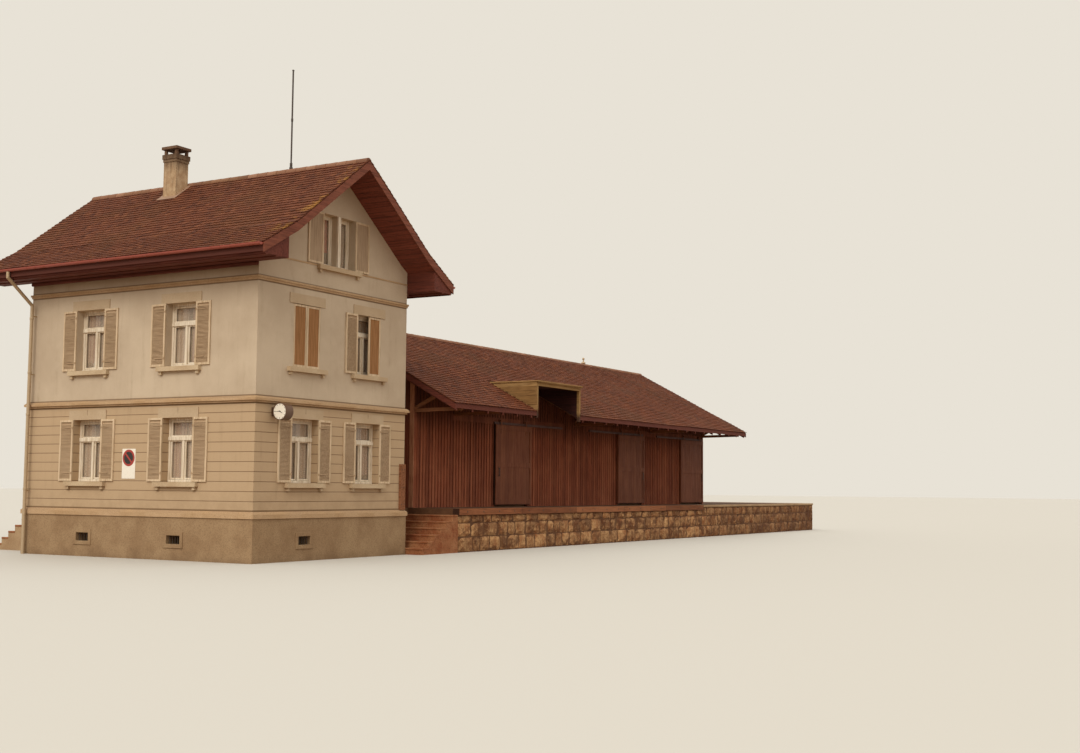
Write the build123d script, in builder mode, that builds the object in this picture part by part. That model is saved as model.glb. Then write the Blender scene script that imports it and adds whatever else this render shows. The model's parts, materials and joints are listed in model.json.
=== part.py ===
from build123d import *
import os

os.makedirs("parts", exist_ok=True)

# Railway station house with a goods shed on a raised loading dock, in millimetres.
# X runs along the tracks, Y from the track side to the street side, Z up.
# The origin is the middle of the plan at the level of the dock's foot.

# House, plan
house_width = 6060
house_depth = 8050
wall_thickness = 450

# House, heights above the dock's foot
plinth_top = 1060
course_height = 170
belt_level = 3860
belt_height = 150
frieze_level = 6830
frieze_height = 100
soffit_level = 7260
eave_level = 7521
floor_slab = 200
weathering_angle = 45

# House, projections of the plinth and the mouldings beyond the wall face
plinth_reach = 50
course_reach = 80
course_weathering = 68
belt_reach = 90
belt_foot_reach = 45
belt_foot_height = 45
belt_weathering = 50
frieze_reach = 45
frieze_foot_reach = 22
string_height = 35
string_reach = 16
string_sink = 10

# House roof
main_slope = 0.752
eave_slope = 0.58
sprocket_setback = 300
eave_reach = 900
roof_depth = 220
track_overhang = 930
street_overhang = 1200
fascia_setback = 60
soffit_strip_reaches = (380, 740)
soffit_strip_width = 60
soffit_strip_depth = 28
verge_board_thickness = 32
verge_board_depth = 230
verge_drop = 15
ridge_tile_radius = 110
ridge_tile_sink = 38
gutter_radius = 65
gutter_wall = 6
gutter_drop = 20
downpipe_radius = 45
downpipe_corner = 160
downpipe_wall_gap = 20
neck_drop = 150
neck_foot_drop = 200
pipe_bracket = 30
pipe_bracket_levels = (1660, 4760, 6330)

# House windows
window_width = 1030
window_height = 1600
ground_sill_level = 1925
upper_sill_level = 4805
attic_sill_level = 7510
attic_light_width = 600
attic_light_height = 1360
attic_post_width = 110
side_window_setbacks = (2520, 2300)
gable_window_setbacks = (1830, 1690)
reveal_depth = 210
frame_depth = 70
frame_face = 62
transom_share = 0.68
glass_thickness = 8
sill_height = 115
sill_reach = 110
sill_overlap = 215
corbel_width = 90
corbel_height = 80
corbel_inset = 60
corbel_setback = 45
lintel_height = 250
lintel_reach = 22
lintel_overlap = 170
lintel_joint_width = 14
shutter_width = 500
shutter_thickness = 38
shutter_gap = 10
meeting_gap = 2
shutter_stile = 55
shutter_panel_depth = 12
cellar_opening_width = 450
cellar_opening_height = 210
cellar_opening_level = 400

# Chimney, aerial mast, clock and corner guard
chimney_ridge_gap = 130
chimney_depth_place = 5355
chimney_size = (460, 475)
chimney_height = 800
chimney_cap_gap = 140
chimney_cap_thickness = 85
chimney_cap_reach = 55
chimney_post = 80
neck_heights = (210, 130)
neck_reaches = (18, 36)
mast_place = 1700
mast_radius = 22
mast_height = 2720
mast_collar_radius = 48
mast_collar_height = 40
clock_place = 520
clock_level = 3650
clock_radius = 210
clock_length = 260
clock_wall_gap = 95
clock_rim = 14
clock_dial_depth = 12
clock_arm_width = 60
clock_arm_height = 50
clock_plate_width = 140
clock_plate_height = 220
clock_plate_thickness = 15
guard_width = 230
guard_thickness = 60
guard_height = 1250

# Street door and its steps
door_height = 2100
door_pane_back = 20
door_panel_inset = 75
door_panel_levels = ((200, 820), (930, 1950))
door_panel_sink = 12
door_stile_half = 30
landing_depth = 700
street_tread = 270
street_riser_count = 7
street_steps_width = 1700

# Dock
dock_top = 1250
dock_front = -600
dock_back = 7700
dock_length = 30320
stair_riser_count = 7
stair_tread = 290
coping_height = 180
coping_depth = 180
coping_reach = 40
coping_length = 17320

# Goods shed
shed_west_gap = 220
shed_length = 21100
shed_wall_front = 1160
shed_wall_back = 7560
shed_wall = 120
corner_board_width = 140
corner_board_thickness = 18
shed_floor_thickness = 40
shed_ridge_level = 6910
shed_slope = 0.531
shed_roof_depth = 140
shed_eave_reach = 1790
shed_verge_reach = 450
shed_verge_board_depth = 170
shed_verge_board_thickness = 30
shed_ridge_radius = 90
shed_ridge_sink = 32

# Sliding goods doors, places of their centres from the dock's left end
goods_door_width = 2260
goods_door_height = 2590
goods_door_thickness = 60
goods_door_lap = 80
goods_door_wall_gap = 25
goods_door_floor_gap = 20
goods_door_places = (5740, 14370, 20030)
goods_door_travels = (2180, -2180, -2180)
goods_door_names = ("goods_door_left", "goods_door_middle", "goods_door_right")
rail_height = 70
rail_depth = 45
rail_gap = 12
hanger_width = 60
hanger_thickness = 8
hanger_inset = 350
hanger_lap = 300
ledge_height = 150
ledge_thickness = 20
ledge_inset = 12
ledge_levels = (20, 1220, 2420)
wheel_radius = 55
wheel_width = 24
wheel_wall_gap = 10
wheel_seat_gap = 0.3
axle_radius = 16

# Loading dormer over the left goods door
dormer_width = 2850
dormer_top = 5230
dormer_board = 50
dormer_post = 90
dormer_beam_height = 150
dormer_lip = 60
dormer_post_drop = 60

# Eave brackets of the shed, places from the dock's left end
bracket_places = (280, 2420, 10020, 16120, 21270)
bracket_size = 100
bracket_tip_setback = 130
bracket_brace_reach = 840
bracket_foot_drop = 60

# Places that follow from the sizes
side_window_places = (side_window_setbacks[0], house_depth - side_window_setbacks[1])
gable_window_places = (gable_window_setbacks[0], house_width - gable_window_setbacks[1])
closed_left_places = gable_window_places[:1]
closed_right_places = gable_window_places
door_place = gable_window_places[0]
gutter_reach = eave_reach + 2 * gutter_radius
stair_run = (stair_riser_count - 1) * stair_tread
plan_length = gutter_reach + house_width + course_reach + stair_run + dock_length
street_steps_run = landing_depth + (street_riser_count - 1) * street_tread
plan_front = track_overhang + verge_board_thickness
plan_back = house_depth + course_reach + street_steps_run
west_x = gutter_reach - plan_length / 2
east_x = west_x + house_width
ridge_x = west_x + house_width / 2
track_y = (plan_front - plan_back) / 2
eave_break_level = eave_level + eave_slope * (eave_reach + sprocket_setback)
ridge_level = eave_break_level + main_slope * (house_width / 2 - sprocket_setback)
street_y = track_y + house_depth
stair_x = east_x + course_reach
dock_x = stair_x + stair_run
dock_end_x = dock_x + dock_length
dock_front_y = track_y + dock_front
dock_back_y = track_y + dock_back
shed_x = dock_x + shed_west_gap
shed_end_x = shed_x + shed_length
shed_front_y = track_y + shed_wall_front
shed_back_y = track_y + shed_wall_back
shed_ridge_y = (shed_front_y + shed_back_y) / 2
shed_half = (shed_back_y - shed_front_y) / 2
floor_level = plinth_top + course_height
shed_floor_level = dock_top + shed_floor_thickness
goods_head_level = shed_floor_level + goods_door_height - goods_door_lap


def block(x_from, x_to, y_from, y_to, z_from, z_to, mode=Mode.ADD):
    """A square-edged block between two corners, in the part being built."""
    middle = ((x_from + x_to) / 2, (y_from + y_to) / 2, (z_from + z_to) / 2)
    with Locations(middle):
        Box(x_to - x_from, y_to - y_from, z_to - z_from, mode=mode)


def prism_along_y(points, y_from, y_to, mode=Mode.ADD):
    """An outline of (X, Z) points carried from one Y to another."""
    with BuildSketch(Plane.XZ.offset(-y_to), mode=Mode.PRIVATE) as outline:
        with BuildLine():
            Polyline(*points, close=True)
        make_face()
    extrude(outline.sketch, amount=y_to - y_from, mode=mode)


def prism_along_x(points, x_from, x_to, mode=Mode.ADD):
    """An outline of (Y, Z) points carried from one X to another."""
    with BuildSketch(Plane.YZ.offset(x_from), mode=Mode.PRIVATE) as outline:
        with BuildLine():
            Polyline(*points, close=True)
        make_face()
    extrude(outline.sketch, amount=x_to - x_from, mode=mode)


def house_ring(reach, z_from, height, inner=wall_thickness, taper=0):
    """A course that runs all round the house and stands out by reach."""
    centre = (ridge_x, (track_y + street_y) / 2)
    with BuildSketch(Plane.XY.offset(z_from), mode=Mode.PRIVATE) as outside:
        with Locations(centre):
            Rectangle(house_width + 2 * reach, house_depth + 2 * reach)
    extrude(outside.sketch, amount=height, taper=taper)
    with BuildSketch(Plane.XY.offset(z_from), mode=Mode.PRIVATE) as inside:
        with Locations(centre):
            Rectangle(house_width - 2 * inner, house_depth - 2 * inner)
    extrude(inside.sketch, amount=height, mode=Mode.SUBTRACT)


def save(sub_part, name):
    """Labels a finished piece and writes its STEP file."""
    sub_part.part.label = name
    export_step(sub_part.part, "parts/" + name + ".step")


def house_roof_top(inward):
    """Height of the tiles at a place that far inside the side wall's face."""
    past_break = inward - sprocket_setback
    return eave_break_level + past_break * (main_slope if past_break >= 0 else eave_slope)


def house_roof_under(inward):
    """Height of the roof's underside at the same place."""
    return house_roof_top(inward) - roof_depth


def shed_roof_top(outward):
    """Height of the shed's tiles at that distance from the ridge line."""
    return shed_ridge_level - shed_slope * outward


def shed_roof_under(outward):
    """Height of the underside of the shed's roof at the same place."""
    return shed_roof_top(outward) - shed_roof_depth


def window_rows():
    """The windows of the two storeys: wall, place along it, sill level."""
    rows = []
    for level in (ground_sill_level, upper_sill_level):
        for place in side_window_places:
            rows.append(("west", place, level))
            rows.append(("east", place, level))
        for place in gable_window_places:
            rows.append(("track", place, level))
            if place != door_place or level != ground_sill_level:
                rows.append(("street", place, level))
    return rows


def wall_plane(wall, place, level):
    """Plane on a wall's face: x along the wall, y up, normal outwards."""
    if wall == "west":
        return Plane((west_x, track_y + place, level), x_dir=(0, -1, 0), z_dir=(-1, 0, 0))
    if wall == "east":
        return Plane((east_x, track_y + place, level), x_dir=(0, 1, 0), z_dir=(1, 0, 0))
    if wall == "track":
        return Plane((west_x + place, track_y, level), x_dir=(1, 0, 0), z_dir=(0, -1, 0))
    return Plane((west_x + place, street_y, level), x_dir=(-1, 0, 0), z_dir=(0, 1, 0))


def slab_on(plane, x_from, x_to, z_from, z_to, back, front, mode=Mode.ADD):
    """A slab on a wall plane, from back to front along its normal."""
    with BuildSketch(plane.offset(back), mode=Mode.PRIVATE) as outline:
        with Locations(((x_from + x_to) / 2, (z_from + z_to) / 2)):
            Rectangle(x_to - x_from, z_to - z_from)
    extrude(outline.sketch, amount=front - back, mode=mode)


def cut_windows(wall):
    """Cuts a wall's windows through the part being built."""
    for side, place, level in window_rows():
        if side == wall:
            plane = wall_plane(wall, place, level)
            half = window_width / 2
            slab_on(plane, -half, half, 0, window_height, -wall_thickness - 1, 1, Mode.SUBTRACT)


attic_half = attic_post_width / 2 + attic_light_width
attic_light_offset = (attic_post_width + attic_light_width) / 2
attic_light_places = (house_width / 2 - attic_light_offset, house_width / 2 + attic_light_offset)


def cut_attic_window(wall):
    """Cuts the pair of attic lights through a gable."""
    plane = wall_plane(wall, house_width / 2, attic_sill_level)
    for x_from in (-attic_half, attic_post_width / 2):
        x_to = x_from + attic_light_width
        slab_on(plane, x_from, x_to, 0, attic_light_height, -wall_thickness - 1, 1, Mode.SUBTRACT)


# House plinth with its cellar openings and weathered course
with BuildPart() as house_plinth:
    house_ring(plinth_reach, 0, plinth_top, inner=wall_thickness - plinth_reach)
    for wall, places in (("west", side_window_places), ("track", gable_window_places[:1])):
        for place in places:
            opening = wall_plane(wall, place, cellar_opening_level)
            half = cellar_opening_width / 2
            slab_on(opening, -half, half, 0, cellar_opening_height,
                    -wall_thickness - 1, plinth_reach + 1, Mode.SUBTRACT)
save(house_plinth, "house_plinth")

with BuildPart() as plinth_course:
    course_face = course_height - course_weathering
    house_ring(course_reach, plinth_top, course_face)
    house_ring(course_reach, plinth_top + course_face, course_weathering, taper=weathering_angle)
save(plinth_course, "plinth_course")

# Floors
inner_west = west_x + wall_thickness
inner_east = east_x - wall_thickness
inner_track = track_y + wall_thickness
inner_street = street_y - wall_thickness
with BuildPart() as ground_floor:
    block(inner_west, inner_east, inner_track, inner_street, plinth_top, floor_level)
save(ground_floor, "ground_floor")

with BuildPart() as upper_floor:
    block(inner_west, inner_east, inner_track, inner_street, belt_level, belt_level + floor_slab)
save(upper_floor, "upper_floor")

with BuildPart() as attic_floor:
    block(inner_west, inner_east, inner_track, inner_street,
          soffit_level - floor_slab, soffit_level)
save(attic_floor, "attic_floor")

# Side walls, whose tops follow the underside of the roof
side_wall_profile = (
    (0, floor_level),
    (wall_thickness, floor_level),
    (wall_thickness, house_roof_under(wall_thickness)),
    (sprocket_setback, house_roof_under(sprocket_setback)),
    (0, house_roof_under(0)),
)
with BuildPart() as west_wall:
    prism_along_y([(west_x + x, z) for x, z in side_wall_profile], track_y, street_y)
    cut_windows("west")
save(west_wall, "west_wall")

with BuildPart() as east_wall:
    prism_along_y([(east_x - x, z) for x, z in side_wall_profile], track_y, street_y)
    cut_windows("east")
save(east_wall, "east_wall")

# End walls of the two storeys
with BuildPart() as track_wall:
    block(inner_west, inner_east, track_y, inner_track, floor_level, soffit_level)
    cut_windows("track")
save(track_wall, "track_wall")

with BuildPart() as street_wall:
    block(inner_west, inner_east, inner_street, street_y, floor_level, soffit_level)
    cut_windows("street")
    doorway = wall_plane("street", door_place, floor_level)
    doorway_height = ground_sill_level + window_height - floor_level
    slab_on(doorway, -window_width / 2, window_width / 2, 0, doorway_height,
            -wall_thickness - 1, 1, Mode.SUBTRACT)
save(street_wall, "street_wall")

# Gables over the end walls
gable_profile = (
    (inner_west, soffit_level),
    (inner_east, soffit_level),
    (inner_east, house_roof_under(wall_thickness)),
    (ridge_x, ridge_level - roof_depth),
    (inner_west, house_roof_under(wall_thickness)),
)
with BuildPart() as track_gable:
    prism_along_y(gable_profile, track_y, inner_track)
    cut_attic_window("track")
save(track_gable, "track_gable")

with BuildPart() as street_gable:
    prism_along_y(gable_profile, inner_street, street_y)
    cut_attic_window("street")
save(street_gable, "street_gable")

# Belt course between the storeys, the band under the eaves and the gables' string courses
with BuildPart() as belt_course:
    belt_face = belt_height - belt_foot_height - belt_weathering
    house_ring(belt_foot_reach, belt_level, belt_foot_height, inner=0)
    house_ring(belt_reach, belt_level + belt_foot_height, belt_face, inner=0)
    house_ring(belt_reach, belt_level + belt_foot_height + belt_face, belt_weathering, inner=0,
               taper=weathering_angle)
save(belt_course, "belt_course")

with BuildPart() as frieze_band:
    house_ring(frieze_foot_reach, frieze_level, frieze_height / 2, inner=0)
    house_ring(frieze_reach, frieze_level + frieze_height / 2, frieze_height / 2, inner=0)
    string_top = attic_sill_level - string_sink
    attic_sill_half = attic_half + sill_overlap
    for x_from, x_to in ((west_x, ridge_x - attic_sill_half), (ridge_x + attic_sill_half, east_x)):
        block(x_from, x_to, track_y - string_reach, track_y, string_top - string_height, string_top)
        block(x_from, x_to, street_y, street_y + string_reach, string_top - string_height, string_top)
save(frieze_band, "frieze_band")

# Stone sills with small corbels, and flat lintels, jointed on the ground storey
sill_half = window_width / 2 + sill_overlap
lintel_half = window_width / 2 + lintel_overlap


def add_sill(plane, half):
    """A sill with a weathered top and a corbel under each end."""
    slab_on(plane, -half, half, -sill_height, 0, 0, sill_reach)
    for x_from in (-half + corbel_inset, half - corbel_inset - corbel_width):
        slab_on(plane, x_from, x_from + corbel_width, -sill_height - corbel_height, -sill_height,
                0, sill_reach - corbel_setback)


with BuildPart() as window_sills:
    for wall, place, level in window_rows():
        add_sill(wall_plane(wall, place, level), sill_half)
    for wall in ("track", "street"):
        add_sill(wall_plane(wall, house_width / 2, attic_sill_level), attic_half + sill_overlap)
save(window_sills, "window_sills")

with BuildPart() as window_lintels:
    for wall, place, level in window_rows():
        head = wall_plane(wall, place, level + window_height)
        slab_on(head, -lintel_half, lintel_half, 0, lintel_height, 0, lintel_reach)
        if level == ground_sill_level:
            slab_on(head, -lintel_joint_width / 2, lintel_joint_width / 2,
                    lintel_height / 2, lintel_height, 0, lintel_reach, Mode.SUBTRACT)
save(window_lintels, "window_lintels")


def add_casement(plane, width, height, transom):
    """A frame with a top light over two casements, set back in its opening."""
    back = -reveal_depth - frame_depth
    front = -reveal_depth
    slab_on(plane, -width / 2, width / 2, 0, height, back, front)
    upper_from = transom + frame_face / 2
    light_half = width / 2 - frame_face
    slab_on(plane, -light_half, light_half, upper_from, height - frame_face,
            back, front, Mode.SUBTRACT)
    lower_to = transom - frame_face / 2
    slab_on(plane, -light_half, -frame_face / 2, frame_face, lower_to, back, front, Mode.SUBTRACT)
    slab_on(plane, frame_face / 2, light_half, frame_face, lower_to, back, front, Mode.SUBTRACT)


with BuildPart() as window_frames:
    for wall, place, level in window_rows():
        add_casement(wall_plane(wall, place, level), window_width, window_height,
                     window_height * transom_share)
save(window_frames, "window_frames")

with BuildPart() as attic_frames:
    for wall in ("track", "street"):
        for place in attic_light_places:
            plane = wall_plane(wall, place, attic_sill_level)
            half = attic_light_width / 2
            back = -reveal_depth - frame_depth
            slab_on(plane, -half, half, 0, attic_light_height, back, -reveal_depth)
            slab_on(plane, -half + frame_face, half - frame_face,
                    frame_face, attic_light_height - frame_face,
                    back, -reveal_depth, Mode.SUBTRACT)
save(attic_frames, "attic_frames")

with BuildPart() as window_glass:
    pane_front = -reveal_depth - frame_depth
    for wall, place, level in window_rows():
        slab_on(wall_plane(wall, place, level), -window_width / 2, window_width / 2,
                0, window_height, pane_front - glass_thickness, pane_front)
    for wall in ("track", "street"):
        for place in attic_light_places:
            slab_on(wall_plane(wall, place, attic_sill_level),
                    -attic_light_width / 2, attic_light_width / 2,
                    0, attic_light_height, pane_front - glass_thickness, pane_front)
save(window_glass, "window_glass")


def add_shutter(plane, x_from, width, height, back=0):
    """A framed leaf with a sunk panel, its back on the plane."""
    x_to = x_from + width
    front = back + shutter_thickness
    slab_on(plane, x_from, x_to, shutter_gap, height, back, front)
    slab_on(plane, x_from + shutter_stile, x_to - shutter_stile,
            shutter_gap + shutter_stile, height - shutter_stile,
            front - shutter_panel_depth, front, Mode.SUBTRACT)


with BuildPart() as shutters:
    closed_leaf_width = window_width / 2 - meeting_gap
    for wall, place, level in window_rows():
        plane = wall_plane(wall, place, level)
        half = window_width / 2
        on_closed_storey = wall == "track" and level == upper_sill_level
        if on_closed_storey and place in closed_left_places:
            add_shutter(plane, -half, closed_leaf_width, window_height - shutter_gap,
                        -shutter_thickness)
        else:
            add_shutter(plane, -half - shutter_width, shutter_width, window_height)
        if on_closed_storey and place in closed_right_places:
            add_shutter(plane, meeting_gap, closed_leaf_width, window_height - shutter_gap,
                        -shutter_thickness)
        else:
            add_shutter(plane, half, shutter_width, window_height)
    for wall in ("track", "street"):
        plane = wall_plane(wall, house_width / 2, attic_sill_level)
        add_shutter(plane, -attic_half - attic_light_width, attic_light_width, attic_light_height)
        add_shutter(plane, attic_half, attic_light_width, attic_light_height)
save(shutters, "shutters")

# House roof: two slopes, each with a flatter foot
slope_profile = (
    (house_width / 2, ridge_level),
    (sprocket_setback, house_roof_top(sprocket_setback)),
    (-eave_reach, house_roof_top(-eave_reach)),
    (-eave_reach, house_roof_under(-eave_reach)),
    (sprocket_setback, house_roof_under(sprocket_setback)),
    (house_width / 2, ridge_level - roof_depth),
)
roof_track_y = track_y - track_overhang
roof_street_y = street_y + street_overhang
with BuildPart() as roof_west:
    prism_along_y([(west_x + x, z) for x, z in slope_profile], roof_track_y, roof_street_y)
save(roof_west, "house_roof_west")

with BuildPart() as roof_east:
    prism_along_y([(east_x - x, z) for x, z in slope_profile], roof_track_y, roof_street_y)
save(roof_east, "house_roof_east")

# Boxed eaves with a strip of moulding along each soffit
fascia_reach = eave_reach - fascia_setback
eave_profile = (
    (0, soffit_level),
    (-fascia_reach, soffit_level),
    (-fascia_reach, house_roof_under(-fascia_reach)),
    (0, house_roof_under(0)),
)
with BuildPart() as eave_boxes:
    prism_along_y([(west_x + x, z) for x, z in eave_profile], roof_track_y, roof_street_y)
    prism_along_y([(east_x - x, z) for x, z in eave_profile], roof_track_y, roof_street_y)
    for reach in soffit_strip_reaches:
        for x_from in (west_x - reach - soffit_strip_width, east_x + reach):
            block(x_from, x_from + soffit_strip_width, roof_track_y, roof_street_y,
                  soffit_level - soffit_strip_depth, soffit_level)
save(eave_boxes, "eave_boxes")

# Verge boards at both ends of the roof
with BuildPart() as verge_boards:
    for y_from in (roof_track_y - verge_board_thickness, roof_street_y):
        y_to = y_from + verge_board_thickness
        outer = []
        inner = []
        for x, z in slope_profile[:3]:
            outer.append((west_x + x, z - verge_drop))
            inner.append((west_x + x, z - verge_drop - verge_board_depth))
        mirrored_outer = [(2 * ridge_x - x, z) for x, z in reversed(outer[1:])]
        mirrored_inner = [(2 * ridge_x - x, z) for x, z in inner[1:]]
        outline = mirrored_outer + outer + list(reversed(inner[1:])) + [inner[0]] + mirrored_inner
        prism_along_y(outline, y_from, y_to)
save(verge_boards, "verge_boards")

# Half-round ridge tiles bedded on the two slopes
with BuildPart() as ridge_tiles:
    with BuildSketch(Plane.XZ.offset(-roof_street_y), mode=Mode.PRIVATE) as ridge_outline:
        with Locations((ridge_x, ridge_level - ridge_tile_sink)):
            Circle(ridge_tile_radius)
    extrude(ridge_outline.sketch, amount=roof_street_y - roof_track_y)
    for side in (-1, 1):
        wedge = (
            (ridge_x, ridge_level),
            (ridge_x + side * house_width, ridge_level - main_slope * house_width),
            (ridge_x, ridge_level - main_slope * house_width),
        )
        prism_along_y(wedge, roof_track_y - 1, roof_street_y + 1, Mode.SUBTRACT)
save(ridge_tiles, "house_ridge_tiles")

# Chimney through the west slope, its foot following the tiles and its neck stepped out
shaft_inward = house_width / 2 - chimney_ridge_gap - chimney_size[0]
shaft_x = west_x + shaft_inward
shaft_y = track_y + chimney_depth_place
chimney_top = ridge_level + chimney_height
with BuildPart() as chimney_shaft:
    shaft_profile = (
        (shaft_x, house_roof_top(shaft_inward)),
        (shaft_x + chimney_size[0], house_roof_top(shaft_inward + chimney_size[0])),
        (shaft_x + chimney_size[0], chimney_top),
        (shaft_x, chimney_top),
    )
    prism_along_y(shaft_profile, shaft_y, shaft_y + chimney_size[1])
    for height, reach in zip(neck_heights, neck_reaches):
        block(shaft_x - reach, shaft_x + chimney_size[0] + reach,
              shaft_y - reach, shaft_y + chimney_size[1] + reach, chimney_top - height, chimney_top)
save(chimney_shaft, "chimney_shaft")

with BuildPart() as chimney_cap:
    cap_foot = chimney_top + chimney_cap_gap
    for x_from in (shaft_x, shaft_x + chimney_size[0] - chimney_post):
        for y_from in (shaft_y, shaft_y + chimney_size[1] - chimney_post):
            block(x_from, x_from + chimney_post, y_from, y_from + chimney_post, chimney_top, cap_foot)
    block(shaft_x - chimney_cap_reach, shaft_x + chimney_size[0] + chimney_cap_reach,
          shaft_y - chimney_cap_reach, shaft_y + chimney_size[1] + chimney_cap_reach,
          cap_foot, cap_foot + chimney_cap_thickness)
save(chimney_cap, "chimney_cap")

# Half-round gutters with a cap at each end
gutter_level = house_roof_top(-eave_reach) - gutter_drop


def add_gutter(axis_x):
    """A half-round trough along one eave."""
    for radius, cap, mode in ((gutter_radius, 0, Mode.ADD),
                              (gutter_radius - gutter_wall, gutter_wall, Mode.SUBTRACT)):
        with BuildSketch(Plane.XZ.offset(cap - roof_street_y), mode=Mode.PRIVATE) as section:
            with Locations((axis_x, gutter_level)):
                Circle(radius)
            with Locations((axis_x, gutter_level + gutter_radius)):
                Rectangle(4 * gutter_radius, 2 * gutter_radius, mode=Mode.SUBTRACT)
        extrude(section.sketch, amount=roof_street_y - roof_track_y - 2 * cap, mode=mode)


with BuildPart() as gutters:
    add_gutter(west_x - eave_reach - gutter_radius)
    add_gutter(east_x + eave_reach + gutter_radius)
save(gutters, "house_gutters")

# Downpipes with mitred necks at the street corners, on brackets
downpipe_y = street_y - downpipe_corner
downpipe_out = belt_reach + downpipe_wall_gap + downpipe_radius


def add_downpipe(wall_x, out):
    """A pipe from a gutter to the ground; out points away from the wall."""
    axis_x = wall_x + out * (eave_reach + gutter_radius)
    pipe_x = wall_x + out * downpipe_out
    neck_top = gutter_level - gutter_radius
    neck_foot = frieze_level - neck_foot_drop
    with BuildLine(mode=Mode.PRIVATE) as path:
        Polyline(
            (axis_x, downpipe_y, neck_top),
            (axis_x, downpipe_y, neck_top - neck_drop),
            (pipe_x, downpipe_y, neck_foot),
            (pipe_x, downpipe_y, 0),
        )
    with BuildSketch(Plane((axis_x, downpipe_y, neck_top), z_dir=(0, 0, -1)),
                     mode=Mode.PRIVATE) as section:
        Circle(downpipe_radius)
    sweep(section.sketch, path=path.line, transition=Transition.RIGHT)
    for level in pipe_bracket_levels:
        block(min(wall_x, pipe_x), max(wall_x, pipe_x), downpipe_y - pipe_bracket / 2,
              downpipe_y + pipe_bracket / 2, level, level + pipe_bracket)


with BuildPart() as downpipes:
    add_downpipe(west_x, -1)
    add_downpipe(east_x, 1)
save(downpipes, "house_downpipes")

# Aerial mast on the ridge
with BuildPart() as aerial_mast:
    mast_foot = ridge_level - ridge_tile_sink + ridge_tile_radius
    with Locations((ridge_x, track_y + mast_place, mast_foot + mast_height / 2)):
        Cylinder(mast_radius, mast_height)
    with Locations((ridge_x, track_y + mast_place, mast_foot + mast_collar_height / 2)):
        Cylinder(mast_collar_radius, mast_collar_height)
save(aerial_mast, "aerial_mast")

# Double-faced clock on its wall bracket
clock_x = west_x + clock_place
clock_y = track_y - clock_wall_gap - clock_radius
with BuildPart() as station_clock:
    with BuildSketch(Plane.YZ.offset(clock_x), mode=Mode.PRIVATE) as drum:
        with Locations((clock_y, clock_level)):
            Circle(clock_radius)
    extrude(drum.sketch, amount=clock_length)
    for dial_x in (clock_x, clock_x + clock_length - clock_dial_depth):
        with BuildSketch(Plane.YZ.offset(dial_x), mode=Mode.PRIVATE) as dial:
            with Locations((clock_y, clock_level)):
                Circle(clock_radius - clock_rim)
        extrude(dial.sketch, amount=clock_dial_depth, mode=Mode.SUBTRACT)
    arm_x = clock_x + clock_length / 2
    block(arm_x - clock_arm_width / 2, arm_x + clock_arm_width / 2, clock_y, track_y,
          clock_level - clock_arm_height / 2, clock_level + clock_arm_height / 2)
    block(arm_x - clock_plate_width / 2, arm_x + clock_plate_width / 2,
          track_y - clock_plate_thickness, track_y,
          clock_level - clock_plate_height / 2, clock_level + clock_plate_height / 2)
save(station_clock, "station_clock")

# Timber guard on the track corner beside the dock's steps
with BuildPart() as corner_guard:
    block(east_x - guard_width, east_x, track_y - guard_thickness, track_y,
          floor_level, floor_level + guard_height)
save(corner_guard, "corner_guard")

# Street door in its frame with four sunk panels, and the steps up to it
with BuildPart() as street_door:
    door_plane = wall_plane("street", door_place, floor_level)
    back = -reveal_depth - frame_depth
    half = window_width / 2
    slab_on(door_plane, -half, half, 0, doorway_height, back, -reveal_depth)
    slab_on(door_plane, -half + frame_face, half - frame_face, door_height + frame_face,
            doorway_height - frame_face, back, -reveal_depth, Mode.SUBTRACT)
    slab_on(door_plane, -half + frame_face, half - frame_face, door_height + frame_face,
            doorway_height - frame_face, back + door_pane_back,
            back + door_pane_back + glass_thickness)
    for x_from, x_to in ((door_panel_inset - half, -door_stile_half),
                         (door_stile_half, half - door_panel_inset)):
        for z_from, z_to in door_panel_levels:
            slab_on(door_plane, x_from, x_to, z_from, z_to,
                    -reveal_depth - door_panel_sink, -reveal_depth, Mode.SUBTRACT)
save(street_door, "street_door")

with BuildPart() as street_steps:
    riser = floor_level / street_riser_count
    step_x = west_x + door_place
    wall_face_y = street_y + course_reach
    steps_profile = [(wall_face_y, 0), (wall_face_y, floor_level)]
    step_y = wall_face_y + landing_depth
    step_z = floor_level
    steps_profile.append((step_y, step_z))
    for step in range(street_riser_count - 1):
        step_z -= riser
        steps_profile.append((step_y, step_z))
        step_y += street_tread
        steps_profile.append((step_y, step_z))
    steps_profile.append((step_y, 0))
    prism_along_x(steps_profile, step_x - street_steps_width / 2, step_x + street_steps_width / 2)
save(street_steps, "street_steps")

# Dock: one mass of masonry that runs back beside the house behind the steps
with BuildPart() as dock_masonry:
    with BuildSketch() as dock_plan:
        with BuildLine():
            Polyline(
                (dock_x, dock_front_y),
                (dock_end_x, dock_front_y),
                (dock_end_x, dock_back_y),
                (stair_x, dock_back_y),
                (stair_x, shed_front_y),
                (dock_x, shed_front_y),
                close=True,
            )
        make_face()
    extrude(amount=dock_top)
    block(dock_x - 1, dock_x + coping_length, dock_front_y - 1, dock_front_y + coping_depth,
          dock_top - coping_height, dock_top + 1, Mode.SUBTRACT)
save(dock_masonry, "dock_masonry")

with BuildPart() as dock_coping:
    block(dock_x, dock_x + coping_length, dock_front_y - coping_reach,
          dock_front_y + coping_depth, dock_top - coping_height, dock_top)
save(dock_coping, "dock_coping")

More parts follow.
